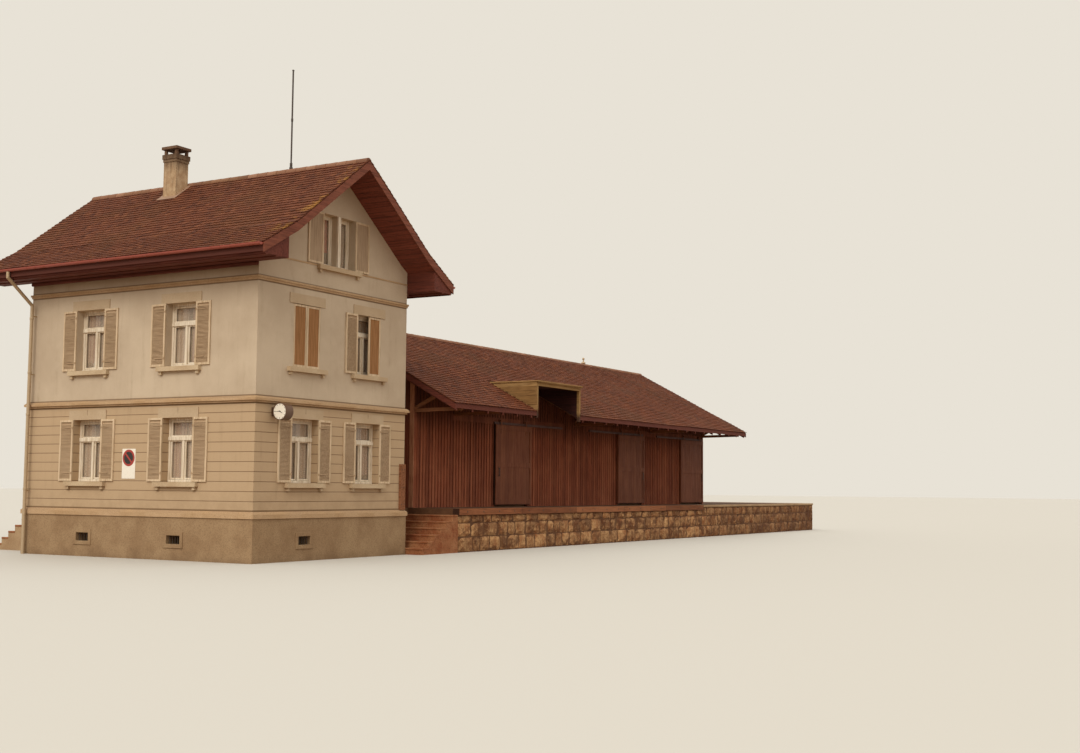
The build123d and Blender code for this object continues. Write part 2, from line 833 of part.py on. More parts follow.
with BuildPart() as dock_steps:
    stair_riser = dock_top / stair_riser_count
    stair_profile = [(stair_x, 0)]
    for step in range(stair_riser_count - 1):
        stair_profile.append((stair_x + step * stair_tread, (step + 1) * stair_riser))
        stair_profile.append((stair_x + (step + 1) * stair_tread, (step + 1) * stair_riser))
    stair_profile.append((dock_x, 0))
    prism_along_y(stair_profile, dock_front_y, shed_front_y)
save(dock_steps, "dock_steps")

# Shed floor and walls
with BuildPart() as shed_floor:
    block(shed_x + shed_wall, shed_end_x - shed_wall, shed_front_y + shed_wall,
          shed_back_y - shed_wall, dock_top, shed_floor_level)
save(shed_floor, "shed_floor")

goods_centres = [dock_x + place for place in goods_door_places]
opening_half = goods_door_width / 2 - goods_door_lap
wall_top_front = shed_roof_under(shed_half)
wall_top_inner = shed_roof_under(shed_half - shed_wall)
corner_board_top = shed_roof_under(shed_half + shed_eave_reach) - bracket_foot_drop


def front_panel_profile(z_from):
    """Section of the shed's front wall from a level up to the roof."""
    return (
        (shed_front_y, z_from),
        (shed_front_y + shed_wall, z_from),
        (shed_front_y + shed_wall, wall_top_inner),
        (shed_front_y, wall_top_front),
    )


with BuildPart() as shed_front_panels:
    edges = [shed_x]
    for centre in goods_centres:
        edges.append(centre - opening_half)
        edges.append(centre + opening_half)
    edges.append(shed_end_x)
    for index in range(0, len(edges), 2):
        prism_along_x(front_panel_profile(dock_top), edges[index], edges[index + 1])
    for x_from in (shed_x, shed_end_x - corner_board_width):
        block(x_from, x_from + corner_board_width, shed_front_y - corner_board_thickness,
              shed_front_y, dock_top, corner_board_top)
save(shed_front_panels, "shed_front_panels")

with BuildPart() as shed_door_heads:
    for centre in goods_centres:
        prism_along_x(front_panel_profile(goods_head_level), centre - opening_half,
                      centre + opening_half)
save(shed_door_heads, "shed_door_heads")

with BuildPart() as shed_rear_wall:
    rear_profile = (
        (shed_back_y, dock_top),
        (shed_back_y - shed_wall, dock_top),
        (shed_back_y - shed_wall, wall_top_inner),
        (shed_back_y, wall_top_front),
    )
    prism_along_x(rear_profile, shed_x, shed_end_x)
    for x_from in (shed_x, shed_end_x - corner_board_width):
        block(x_from, x_from + corner_board_width, shed_back_y,
              shed_back_y + corner_board_thickness, dock_top,
              wall_top_front - corner_board_thickness)
save(shed_rear_wall, "shed_rear_wall")

shed_gable_profile = (
    (shed_front_y + shed_wall, dock_top),
    (shed_back_y - shed_wall, dock_top),
    (shed_back_y - shed_wall, wall_top_inner),
    (shed_ridge_y, shed_roof_under(0)),
    (shed_front_y + shed_wall, wall_top_inner),
)
with BuildPart() as shed_gables:
    prism_along_x(shed_gable_profile, shed_x, shed_x + shed_wall)
    prism_along_x(shed_gable_profile, shed_end_x - shed_wall, shed_end_x)
save(shed_gables, "shed_gables")

# Shed roof; the front slope is open under the loading dormer
shed_eave_out = shed_half + shed_eave_reach
shed_roof_west_x = shed_x - shed_verge_reach
shed_roof_east_x = shed_end_x + shed_verge_reach
dormer_x = goods_centres[0] - dormer_width / 2
dormer_end_x = dormer_x + dormer_width
dormer_back = (shed_ridge_level - dormer_top) / shed_slope


def shed_slope_profile(side):
    """Section of one slope; side is -1 at the front and 1 at the back."""
    eave_y = shed_ridge_y + side * shed_eave_out
    return (
        (shed_ridge_y, shed_roof_top(0)),
        (eave_y, shed_roof_top(shed_eave_out)),
        (eave_y, shed_roof_under(shed_eave_out)),
        (shed_ridge_y, shed_roof_under(0)),
    )


with BuildPart() as shed_roof_front:
    prism_along_x(shed_slope_profile(-1), shed_roof_west_x, shed_roof_east_x)
    block(dormer_x, dormer_end_x, shed_ridge_y - shed_eave_out - 1, shed_ridge_y - dormer_back,
          dock_top, shed_ridge_level, Mode.SUBTRACT)
save(shed_roof_front, "shed_roof_front")

with BuildPart() as shed_roof_rear:
    prism_along_x(shed_slope_profile(1), shed_roof_west_x, shed_roof_east_x)
save(shed_roof_rear, "shed_roof_rear")

with BuildPart() as shed_ridge_tiles:
    with BuildSketch(Plane.YZ.offset(shed_roof_west_x), mode=Mode.PRIVATE) as shed_ridge_outline:
        with Locations((shed_ridge_y, shed_ridge_level - shed_ridge_sink)):
            Circle(shed_ridge_radius)
    extrude(shed_ridge_outline.sketch, amount=shed_roof_east_x - shed_roof_west_x)
    for side in (-1, 1):
        wedge = (
            (shed_ridge_y, shed_ridge_level),
            (shed_ridge_y + side * shed_half, shed_roof_top(shed_half)),
            (shed_ridge_y, shed_roof_top(shed_half)),
        )
        prism_along_x(wedge, shed_roof_west_x - 1, shed_roof_east_x + 1, Mode.SUBTRACT)
save(shed_ridge_tiles, "shed_ridge_tiles")

# Verge boards at both ends of the shed's roof
with BuildPart() as shed_verge_boards:
    verge_tops = []
    for side, out in ((-1, shed_eave_out), (0, 0), (1, shed_eave_out)):
        verge_tops.append((shed_ridge_y + side * out, shed_roof_top(out) - verge_drop))
    verge_feet = [(y, z - shed_verge_board_depth) for y, z in reversed(verge_tops)]
    for x_from in (shed_roof_west_x - shed_verge_board_thickness, shed_roof_east_x):
        prism_along_x(verge_tops + verge_feet, x_from, x_from + shed_verge_board_thickness)
save(shed_verge_boards, "shed_verge_boards")

# Loading dormer: two cheeks, a flat top and a timber frame at the front
dormer_front_y = shed_ridge_y - shed_eave_out
dormer_back_y = shed_ridge_y - dormer_back
with BuildPart() as loading_dormer:
    cheek_profile = (
        (dormer_front_y, shed_roof_under(shed_eave_out)),
        (dormer_front_y, dormer_top),
        (dormer_back_y, dormer_top),
        (dormer_back_y, shed_roof_under(dormer_back)),
    )
    prism_along_x(cheek_profile, dormer_x, dormer_x + dormer_board)
    prism_along_x(cheek_profile, dormer_end_x - dormer_board, dormer_end_x)
    block(dormer_x, dormer_end_x, dormer_front_y - dormer_lip, dormer_back_y,
          dormer_top - dormer_board, dormer_top)
    for x_from in (dormer_x, dormer_end_x - dormer_post):
        block(x_from, x_from + dormer_post, dormer_front_y, dormer_front_y + dormer_post,
              shed_roof_under(shed_eave_out) - dormer_post_drop, dormer_top)
    block(dormer_x, dormer_end_x, dormer_front_y, dormer_front_y + dormer_post,
          dormer_top - dormer_beam_height, dormer_top)
save(loading_dormer, "loading_dormer")

# Brackets that carry the shed's deep eave
with BuildPart() as shed_brackets:
    tip_out = shed_eave_out - bracket_tip_setback
    arm_foot = shed_roof_under(shed_eave_out) - bracket_foot_drop
    tip_y = shed_ridge_y - tip_out
    mid_out = shed_half + bracket_brace_reach
    for place in bracket_places:
        bracket_x = dock_x + place
        lower_arm = (
            (shed_front_y, arm_foot),
            (tip_y, shed_roof_under(tip_out) - bracket_size),
            (tip_y, shed_roof_under(tip_out)),
            (shed_front_y, arm_foot + bracket_size),
        )
        prism_along_x(lower_arm, bracket_x - bracket_size / 2, bracket_x + bracket_size / 2)
        brace = (
            (shed_front_y, shed_roof_under(shed_eave_out)),
            (shed_ridge_y - mid_out - bracket_size, shed_roof_under(mid_out + bracket_size)),
            (shed_ridge_y - mid_out, shed_roof_under(mid_out)),
            (shed_front_y, shed_roof_under(shed_eave_out) + bracket_size),
        )
        prism_along_x(brace, bracket_x - bracket_size / 2, bracket_x + bracket_size / 2)
save(shed_brackets, "shed_brackets")

# Rails over the goods doors
leaf_foot = shed_floor_level + goods_door_floor_gap
leaf_top = leaf_foot + goods_door_height
leaf_back_y = shed_front_y - goods_door_wall_gap
leaf_front_y = leaf_back_y - goods_door_thickness
rail_foot = leaf_top + rail_gap
rail_top = rail_foot + rail_height
wheel_level = rail_top + wheel_seat_gap + wheel_radius
wheel_back_y = shed_front_y - wheel_wall_gap
with BuildPart() as door_rails:
    for centre, travel in zip(goods_centres, goods_door_travels):
        reach_low = centre - goods_door_width / 2 + min(travel, 0)
        reach_high = centre + goods_door_width / 2 + max(travel, 0)
        block(reach_low, reach_high, shed_front_y - rail_depth, shed_front_y, rail_foot, rail_top)
save(door_rails, "door_rails")

# Ledged and framed sliding leaves, hung from two wheels on the rail
for centre, name in zip(goods_centres, goods_door_names):
    with BuildPart() as goods_door:
        leaf_west = centre - goods_door_width / 2
        leaf_east = centre + goods_door_width / 2
        block(leaf_west, leaf_east, leaf_front_y, leaf_back_y, leaf_foot, leaf_top)
        for level in ledge_levels:
            block(leaf_west + ledge_inset, leaf_east - ledge_inset,
                  leaf_front_y - ledge_thickness, leaf_front_y,
                  leaf_foot + level, leaf_foot + level + ledge_height)
        for hanger_x in (leaf_west + hanger_inset, leaf_east - hanger_inset):
            block(hanger_x - hanger_width / 2, hanger_x + hanger_width / 2,
                  leaf_front_y - hanger_thickness, leaf_front_y, leaf_top - hanger_lap, wheel_level)
            with BuildSketch(Plane.XZ.offset(-wheel_back_y), mode=Mode.PRIVATE) as wheel:
                with Locations((hanger_x, wheel_level)):
                    Circle(wheel_radius)
            extrude(wheel.sketch, amount=wheel_width)
            with BuildSketch(Plane.XZ.offset(-wheel_back_y), mode=Mode.PRIVATE) as axle:
                with Locations((hanger_x, wheel_level)):
                    Circle(axle_radius)
            extrude(axle.sketch, amount=wheel_back_y - leaf_front_y + hanger_thickness)
    save(goods_door, name)
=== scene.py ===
"""Railway station house with a goods shed on a raised loading dock.

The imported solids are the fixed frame. Each class below is one sub-assembly: it holds its own
sizes, models the pieces that the solids leave to the scene, and dresses them. Sizes are in
metres, X runs along the tracks, Y from the track side to the street side, Z up.
"""

from __future__ import annotations

import json
import logging
import math
from contextlib import contextmanager
from dataclasses import dataclass
from enum import Enum
from typing import Any, Callable, Iterable, Iterator, Sequence

import bpy
import numpy as np
from bpy.types import Material, NodeSocket, Object
from mathutils import Matrix, Vector

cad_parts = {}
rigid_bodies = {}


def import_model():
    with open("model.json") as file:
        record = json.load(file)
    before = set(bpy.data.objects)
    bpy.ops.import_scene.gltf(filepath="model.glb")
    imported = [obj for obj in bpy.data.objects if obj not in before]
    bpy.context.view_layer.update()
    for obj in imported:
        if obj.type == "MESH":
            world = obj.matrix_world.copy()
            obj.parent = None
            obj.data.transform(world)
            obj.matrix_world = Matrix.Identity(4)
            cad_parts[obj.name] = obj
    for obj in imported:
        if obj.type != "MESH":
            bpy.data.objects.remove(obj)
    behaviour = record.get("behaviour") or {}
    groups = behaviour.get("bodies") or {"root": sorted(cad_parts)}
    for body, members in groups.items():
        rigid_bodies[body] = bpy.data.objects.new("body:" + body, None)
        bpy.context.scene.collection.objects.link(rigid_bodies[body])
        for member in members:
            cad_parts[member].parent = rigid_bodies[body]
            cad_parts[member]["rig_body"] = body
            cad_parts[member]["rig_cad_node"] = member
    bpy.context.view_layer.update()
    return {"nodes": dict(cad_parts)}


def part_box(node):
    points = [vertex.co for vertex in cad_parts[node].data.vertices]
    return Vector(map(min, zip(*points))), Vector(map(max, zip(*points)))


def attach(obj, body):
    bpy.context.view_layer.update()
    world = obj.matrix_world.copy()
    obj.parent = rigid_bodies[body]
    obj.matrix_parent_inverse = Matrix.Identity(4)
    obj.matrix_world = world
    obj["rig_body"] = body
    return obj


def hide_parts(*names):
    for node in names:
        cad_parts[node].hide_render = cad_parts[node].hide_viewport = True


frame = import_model()

log = logging.getLogger("station")
Pair = tuple[float, float]
Point = tuple[float, float, float]

SKIN = 0.002  # how far a trim piece is let into what it sits on
TILE_PITCH = 0.1725  # the wanted distance between two tiles of a course
ENDS = ((-1, "west"), (1, "east"))
SLOPES = ((-1, "front"), (1, "rear"))


# ---- colours and choices


@dataclass(frozen=True)
class Shade:
    """A colour as the eye reads it, by its hex code."""

    code: str

    @property
    def linear(self) -> tuple[float, ...]:
        """The colour in the renderer's linear values."""
        parts = []
        for value in bytes.fromhex(self.code):
            share = value / 255
            parts.append(share / 12.92 if share <= 0.04045 else ((share + 0.055) / 1.055) ** 2.4)
        return (*parts, 1.0)


JOINT_SHADE = Shade("160d0a")
# The colour of the painted shade under the shed's eaves and at the dormer's foot.
PAINTED_SHADE_COLOUR = Shade("3a2019")


class Axis(Enum):
    """A direction in the shared frame, by its place in a point."""

    X = 0
    Y = 1
    Z = 2


class Body(Enum):
    """What a piece moves with."""

    BUILDING = "building"
    LEFT_LEAF = "goods_door_left_leaf"
    MIDDLE_LEAF = "goods_door_middle_leaf"
    RIGHT_LEAF = "goods_door_right_leaf"


class Slot(Enum):
    """The record's material slots, one passed along with each new piece."""

    PLASTER = "plaster"
    STONE_TRIM = "stone_trim"
    PLINTH = "plinth_render"
    TILE = "roof_tile"
    WINDOW = "window_white"
    SHUTTER = "shutter_paint"
    GUTTER = "gutter_red"
    DARK_METAL = "dark_metal"
    CLOCK = "clock_case"
    DOOR = "door_wood"
    DOCK = "dock_stone"
    STEP = "step_stone"
    SHED = "shed_boards"
    SHED_DOOR = "shed_door_wood"
    DORMER = "dormer_wood"


# ---- materials


@dataclass(frozen=True)
class Wire:
    """A value that a node gives. It can be reckoned with like a number."""

    bench: NodeBench
    socket: NodeSocket

    def __add__(self, other: Wire | float) -> Wire:
        """The sum."""
        return self.bench.maths("ADD", self, other)

    def __sub__(self, other: Wire | float) -> Wire:
        """The difference."""
        return self.bench.maths("SUBTRACT", self, other)

    def __mul__(self, other: Wire | float) -> Wire:
        """The product."""
        return self.bench.maths("MULTIPLY", self, other)

    def __truediv__(self, other: float) -> Wire:
        """The quotient."""
        return self.bench.maths("DIVIDE", self, other)

    def __abs__(self) -> Wire:
        """The value without its sign."""
        return self.bench.maths("ABSOLUTE", self)

    def spread(self, low: float, high: float, to_low: float = 0.0, to_high: float = 1.0) -> Wire:
        """Stretches the part between low and high to another range, smoothly."""
        node = self.bench.add("ShaderNodeMapRange")
        node.interpolation_type = "SMOOTHSTEP"
        limits = {"From Min": low, "From Max": high, "To Min": to_low, "To Max": to_high, "Value": self}
        return self.bench.fed(node, limits, "Result")


class NodeBench:
    """Builds one node material: colours are laid over a ground, then joined to the shader."""

    def __init__(self, name: str, ground: Shade) -> None:
        """Starts a material with its shader and output.

        Args:
            name: The material's name.
            ground: The colour that the others are laid over.
        """
        self.material = bpy.data.materials.new(name)
        self.material.use_nodes = True
        self.tree = self.material.node_tree
        self.shader = self.tree.nodes["Principled BSDF"]
        self.place = self.fed(self.add("ShaderNodeTexCoord"), {}, "Object")
        self.colour: Wire | Shade = ground

    def add(self, kind: str) -> bpy.types.Node:
        """Adds a node of that kind."""
        return self.tree.nodes.new(kind)

    def feed(self, socket: NodeSocket, value: Wire | Shade | float | Sequence[float]) -> None:
        """Links a wire to an input, or sets the input's own value."""
        if isinstance(value, Wire):
            self.tree.links.new(value.socket, socket)
        else:
            socket.default_value = value.linear if isinstance(value, Shade) else value

    def fed(self, node: bpy.types.Node, inputs: dict[Any, Any], output: str | int) -> Wire:
        """Feeds a node's inputs and gives one of its outputs."""
        for key, value in inputs.items():
            self.feed(node.inputs[key], value)
        return Wire(self, node.outputs[output])

    def maths(self, operation: str, first: Wire | float, second: Wire | float = 0.0) -> Wire:
        """One step of arithmetic on one or two values."""
        node = self.add("ShaderNodeMath")
        node.operation = operation
        return self.fed(node, {0: first, 1: second}, 0)

    def split(self, vector: Wire) -> list[Wire]:
        """The three parts of a vector."""
        node = self.add("ShaderNodeSeparateXYZ")
        self.feed(node.inputs[0], vector)
        return [Wire(self, output) for output in node.outputs]

    def along(self, axis: Axis) -> Wire:
        """The object's coordinate along one axis."""
        return self.split(self.place)[axis.value]

    def normal(self, axis: Axis) -> Wire:
        """How far a face looks along one axis, from -1 to 1."""
        return self.split(self.fed(self.add("ShaderNodeNewGeometry"), {}, "Normal"))[axis.value]

    def facing(self, axis: Axis) -> Wire:
        """1 where a face looks squarely along an axis, either way, and 0 elsewhere."""
        return abs(self.normal(axis)).spread(0.8, 0.95)

    def stretched(self, scale: Sequence[float]) -> Wire:
        """The object's coordinates, stretched by a factor along each axis."""
        return self.fed(self.add("ShaderNodeMapping"), {"Vector": self.place, "Scale": scale}, "Vector")

    def noise(self, scale: float, detail: float = 4.0, rough: float = 0.55,
              vector: Wire | None = None) -> Wire:
        """Cloudy noise from 0 to 1.

        Args:
            scale: Clouds per metre.
            detail: How many finer layers it has.
            rough: How strong the finer layers are.
            vector: The coordinates to read, or the object's own.

        Returns:
            The noise's value.
        """
        inputs = {"Vector": vector or self.place, "Scale": scale, "Detail": detail, "Roughness": rough}
        return self.fed(self.add("ShaderNodeTexNoise"), inputs, "Fac")

    def cells(self, scale: float) -> Wire:
        """Distance to the nearest of scattered points, for grit and chips."""
        return self.fed(self.add("ShaderNodeTexVoronoi"), {"Vector": self.place, "Scale": scale},
                        "Distance")

    def attribute(self, name: str) -> Wire:
        """A number kept on the mesh, such as a tile's own tone."""
        node = self.add("ShaderNodeAttribute")
        node.attribute_name = name
        return self.fed(node, {}, "Fac")

    def banded(self, axis: Axis, pitch: float, start: float, width: float) -> Wire:
        """Thin lines at an even pitch along an axis.

        Args:
            axis: The axis the lines are counted along.
            pitch: The distance between two lines.
            start: Where one of them lies.
            width: Half the width of a line.

        Returns:
            1 in the middle of a line and 0 between the lines.
        """
        count = (self.along(axis) - start) / pitch
        off = abs(count - self.maths("ROUND", count))
        return off.spread(width / pitch * 0.4, width / pitch, 1.0, 0.0)

    def own_tone(self, axis: Axis, pitch: float, start: float) -> Wire:
        """A number from 0 to 1 of its own for each board along an axis."""
        count = (self.along(axis) - start) / pitch
        node = self.add("ShaderNodeTexWhiteNoise")
        node.noise_dimensions = "1D"
        return self.fed(node, {"W": self.maths("FLOOR", count)}, "Value")

    def lay(self, share: Wire, above: Shade) -> None:
        """Lays a colour over the present one, as far as its share says."""
        node = self.add("ShaderNodeMix")
        node.data_type = "RGBA"
        self.colour = self.fed(node, {0: share, 6: self.colour, 7: above}, 2)

    def finish(self, roughness: Wire | float, height: Wire | None = None, depth: float = 0.003,
               metal: float = 0.0, strength: float = 0.6, shine: float = 0.2) -> Material:
        """Joins colour, roughness and relief to the shader.

        Args:
            roughness: How matt it is.
            height: Its relief, from 0 to 1.
            depth: How deep the relief is.
            metal: How metallic it is.
            strength: How much the relief shows.
            shine: How much of the light it mirrors.

        Returns:
            The material.
        """
        inputs = {"Specular IOR Level": shine, "Base Color": self.colour, "Roughness": roughness,
                  "Metallic": metal}
        if height is not None:
            relief = {"Strength": strength, "Distance": depth, "Height": height}
            inputs["Normal"] = self.fed(self.add("ShaderNodeBump"), relief, "Normal")
        self.fed(self.shader, inputs, 0)
        return self.material


@dataclass(frozen=True)
class Finish:
    """A finish: the hex codes of its colours, the ground colour first, and the solids it dresses."""

    name: str
    codes: str
    solids: str = ""

    def begin(self) -> tuple[NodeBench, list[Shade]]:
        """Starts the material: a bench with the ground colour, and the colours to lay over it."""
        ground, *others = map(Shade, self.codes.split())
        return NodeBench(self.name, ground), others

    def material(self) -> Material:
        """Builds the finish's material."""
        raise NotImplementedError


@dataclass(frozen=True)
class Plaster(Finish):
    """Painted plaster, stained by rain, with the grooved joints of its courses, dark lines at the
    mouldings (a stain above each and painted shadow beneath) and painted shade under the eaves.
    """

    eave_shade: float = 0.0
    groove_pitch: float = 0.2391
    groove_start: float = 1.230
    groove_top: float = 3.80
    groove_width: float = 0.013
    stain_and_shadow_lines: tuple[float, ...] = (1.245, 3.845, 4.022, 6.820, 6.938)
    stain_and_shadow_width: float = 0.024

    def material(self) -> Material:
        """Builds the plaster."""
        bench, (pale, stain, joint, lower) = self.begin()
        height = bench.along(Axis.Z)
        cloud = bench.noise(0.55, 6.0, 0.6)
        patch = bench.noise(3.2, 5.0, 0.62)
        bench.lay(cloud.spread(0.3, 0.7), pale)
        bench.lay((height + patch * 0.3).spread(3.9, 4.3, 1.0, 0.0), lower)
        streaks = bench.noise(1.0, 5.0, 0.7, bench.stretched((5.0, 5.0, 0.35)))
        dirt = streaks.spread(0.48, 0.8) * patch.spread(0.3, 0.75)
        foot = height.spread(1.15, 2.1, 0.55, 0.0) * patch.spread(0.3, 0.7)
        bench.lay(bench.maths("MAXIMUM", dirt, foot) * 0.4, stain)
        grooves = bench.banded(Axis.Z, self.groove_pitch, self.groove_start, self.groove_width)
        cut = grooves * bench.maths("LESS_THAN", height, self.groove_top)
        bench.lay(cut * 0.7, joint)
        # Dark lines along the mouldings: a stain on the wall above each, and painted shadow beneath each.
        for line_level in self.stain_and_shadow_lines:
            off = abs(height - line_level)
            bench.lay(off.spread(self.stain_and_shadow_width * 0.5, self.stain_and_shadow_width * 1.4, 0.75, 0.0), joint)
        # Painted shade under the eaves: the wall darkens towards the soffit, on faces that look along X.
        if self.eave_shade > 0:
            bench.lay(height.spread(6.9, 7.3, 0.0, self.eave_shade) * bench.facing(Axis.X), joint)
        bench.lay(bench.cells(160.0).spread(0.15, 0.6, 0.14, 0.0), stain)
        relief = bench.noise(90.0, 3.0) * 0.25 + patch * 0.25 - cut
        return bench.finish(patch.spread(0.2, 0.8, 0.82, 0.95), relief, 0.008)


@dataclass(frozen=True)
class Masonry(Finish):
    """Stone, render or concrete with clouds, grit and damp towards a level."""

    grit: float = 40.0
    cloud: float = 1.4
    damp_level: float = 0.0
    damp_height: float = 0.0
    toned: bool = False
    depth: float = 0.006
    top_soil: float = 0.35

    def material(self) -> Material:
        """Builds the stone. Toned stone has a tone for each block, lichen and wet patches."""
        bench, (pale, stain) = self.begin()
        cloud = bench.noise(self.cloud, 6.0, 0.62)
        fine = bench.noise(self.grit, 6.0, 0.65)
        bench.lay(cloud.spread(0.3, 0.7), pale)
        if self.toned:
            tone = bench.attribute("tone")
            bench.lay(tone.spread(0.0, 1.0, 0.0, 0.62), stain)
            bench.lay(tone.spread(0.72, 1.0, 0.0, 0.5), pale)
            bench.lay(bench.noise(5.5, 6.0, 0.72).spread(0.52, 0.66, 0.0, 0.7), pale)
            bench.lay(bench.noise(2.1, 6.0, 0.7).spread(0.46, 0.6, 0.0, 0.7), stain)
            bench.lay(bench.along(Axis.X).spread(7.0, 14.0, 0.0, 0.4), stain)
        bench.lay(fine.spread(0.42, 0.75, 0.0, 0.6), stain)
        bench.lay(bench.cells(self.grit * 0.5).spread(0.05, 0.3, 0.35, 0.0), pale)
        if self.damp_height > 0:
            edge = bench.along(Axis.Z) + cloud * self.damp_height
            damp_top = self.damp_level + self.damp_height * 1.4
            bench.lay(edge.spread(self.damp_level, damp_top, 0.7, 0.0), stain)
        soil = bench.normal(Axis.Z).spread(0.4, 0.9, 0.0, self.top_soil) * cloud.spread(0.25, 0.65)
        bench.lay(soil, stain)
        relief = fine * 0.6 + cloud * 0.4
        return bench.finish(fine.spread(0.2, 0.8, 0.78, 0.96), relief, self.depth)


@dataclass(frozen=True)
class Timber(Finish):
    """Painted or stained boards, with grain along one axis and joints across another."""

    grain: Axis = Axis.Z
    across: Axis = Axis.X
    board: float = 0.0
    start: float = 0.0
    joint: float = 0.006
    wear: float = 0.4
    gloss: float = 0.62
    board_change: float = 0.55
    painted_shade: tuple[float, ...] = ()
    ends: str = ""

    def material(self) -> Material:
        """Builds the boards. The painted shade darkens them between two heights, with its share at each.
        """
        bench, (pale, dark) = self.begin()
        stretch = [26.0, 26.0, 26.0]
        stretch[self.grain.value] = 1.3
        fibre = bench.noise(1.0, 6.0, 0.68, bench.stretched(stretch))
        cloud = bench.noise(1.1, 5.0, 0.6)
        bench.lay(fibre.spread(0.35, 0.7), dark)
        worn = cloud.spread(0.42, 0.75) * fibre.spread(0.3, 0.62)
        bench.lay(worn * self.wear, pale)
        relief = fibre * 0.35
        if self.board > 0:
            tone = bench.own_tone(self.across, self.board, self.start)
            bench.lay(tone.spread(0.0, 0.5, self.board_change, 0.0), dark)
            bench.lay(tone.spread(0.6, 1.0, 0.0, self.board_change * 0.6), pale)
            line = bench.banded(self.across, self.board, self.start, self.joint)
            bench.lay(line * 0.85, JOINT_SHADE)
            relief = relief - line
        # Painted shade: darker between two heights, where the eaves shade the boards.
        if self.painted_shade:
            bench.lay(bench.along(Axis.Z).spread(*self.painted_shade), PAINTED_SHADE_COLOUR)
        if self.ends:
            bench.lay(bench.facing(Axis.X), Shade(self.ends))
        rough = fibre.spread(0.25, 0.75, self.gloss, min(self.gloss + 0.22, 1.0))
        return bench.finish(rough, relief, 0.004)


@dataclass(frozen=True)
class Tiling(Finish):
    """Fired clay tiles, each with a tone of its own, with soot and moss."""

    moss_all: float = 0.25
    moss_from: float = 0.0
    moss_to: float = 0.0

    def material(self) -> Material:
        """Builds the clay. Between two places across the tracks the moss thins out."""
        bench, (pale, dark, moss) = self.begin()
        tone = bench.attribute("tone")
        cloud = bench.noise(0.7, 6.0, 0.62)
        fine = bench.noise(34.0, 5.0, 0.65)
        bench.lay(tone.spread(0.0, 0.55, 0.65, 0.0), dark)
        bench.lay(tone.spread(0.6, 1.0, 0.0, 0.6), pale)
        bench.lay(cloud.spread(0.42, 0.75, 0.0, 0.45), dark)
        bench.lay(fine.spread(0.5, 0.78, 0.0, 0.4), dark)
        growth = cloud.spread(0.45, 0.62) * self.moss_all
        if self.moss_from != self.moss_to:
            near = bench.along(Axis.Y).spread(self.moss_from, self.moss_to, 0.9, 0.0)
            patch = bench.noise(2.0, 5.0, 0.6).spread(0.5, 0.6)
            growth = bench.maths("MAXIMUM", growth, near * patch)
        growth = growth * fine.spread(0.4, 0.6, 0.25, 1.0)
        bench.lay(growth, moss)
        relief = fine * 0.6 + growth * 0.5
        return bench.finish(fine.spread(0.2, 0.8, 0.72, 0.93), relief, 0.003)


@dataclass(frozen=True)
class Coating(Finish):
    """Painted metal or enamel with rust or dust in patches."""

    gloss: float = 0.4
    metal: float = 0.0
    spots: float = 0.35

    def material(self) -> Material:
        """Builds the coating."""
        bench, (spot,) = self.begin()
        patch = bench.noise(9.0, 6.0, 0.68)
        fine = bench.noise(120.0, 3.0, 0.6)
        bench.lay(patch.spread(0.5, 0.78, 0.0, self.spots), spot)
        bench.lay(fine.spread(0.5, 0.8, 0.0, 0.2), spot)
        rough = patch.spread(0.4, 0.8, self.gloss, min(self.gloss + 0.35, 1.0))
        return bench.finish(rough, fine, 0.0006, self.metal, 0.4, 0.5)


@dataclass(frozen=True)
class Sooted(Finish):
    """Chimney render, blackened towards the top and streaked by rain."""

    soot_from: float = 10.6
    soot_to: float = 11.3

    def material(self) -> Material:
        """Builds the render."""
        bench, (pale, soot) = self.begin()
        streaks = bench.noise(1.0, 5.0, 0.7, bench.stretched((14.0, 14.0, 1.1)))
        patch = bench.noise(6.0, 5.0, 0.62)
        bench.lay(patch.spread(0.3, 0.7), pale)
        bench.lay(streaks.spread(0.45, 0.75, 0.0, 0.55), soot)
        edge = bench.along(Axis.Z) + streaks * 0.35
        bench.lay(edge.spread(self.soot_from, self.soot_to, 0.0, 0.9), soot)
        return bench.finish(0.93, bench.noise(60.0, 5.0, 0.65), 0.004)


@dataclass(frozen=True)
class Pane(Finish):
    """Clear window glass with a pale film, partly dust and partly painted light that brightens the
    curtains behind; it lets the light through to the curtains.
    """

    cover: float = 0.42

    def material(self) -> Material:
        """Builds the glass."""
        bench, (dust,) = self.begin()
        # Painted light: the pale film brightens the curtains seen through the glass; its cloudy patches
        # are dust.
        cloud = bench.noise(3.0, 4.0, 0.6)
        bench.lay(cloud.spread(0.4, 0.8, 0.0, 0.5), dust)
        bench.feed(bench.shader.inputs["Alpha"], self.cover)
        return bench.finish(cloud.spread(0.4, 0.9, 0.03, 0.12), shine=1.0)


@dataclass(frozen=True)
class Cloth(Finish):
    """Curtain cloth with woven threads and a stripe down its folds."""

    stripes: float = 70.0
    threads: float = 5200.0

    def material(self) -> Material:
        """Builds the cloth, measured along the cloth itself."""
        bench, (stripe,) = self.begin()
        across, down, _ = bench.split(bench.fed(bench.add("ShaderNodeUVMap"), {}, "UV"))
        bench.lay(bench.maths("SINE", across * self.stripes).spread(0.3, 0.8), stripe)
        warp, weft = (bench.maths("SINE", part * self.threads) for part in (across, down))
        bench.feed(bench.shader.inputs["Sheen Weight"], 0.25)
        return bench.finish(0.95, warp * weft, 0.0004)


# Each finish with its colours and the solids it dresses. The new pieces name theirs themselves.
WALL_CODES = "b7a389 c7b499 80684c 684e34 b89d7b"
BOARD_CODES = "985336 b06e4c 6c3925"
# The shed's boards carry painted shade, darker towards the eaves.
BOARDS = dict(board=0.16, joint=0.005, wear=0.5, gloss=0.8, painted_shade=(3.3, 4.3, 0.0, 0.6))

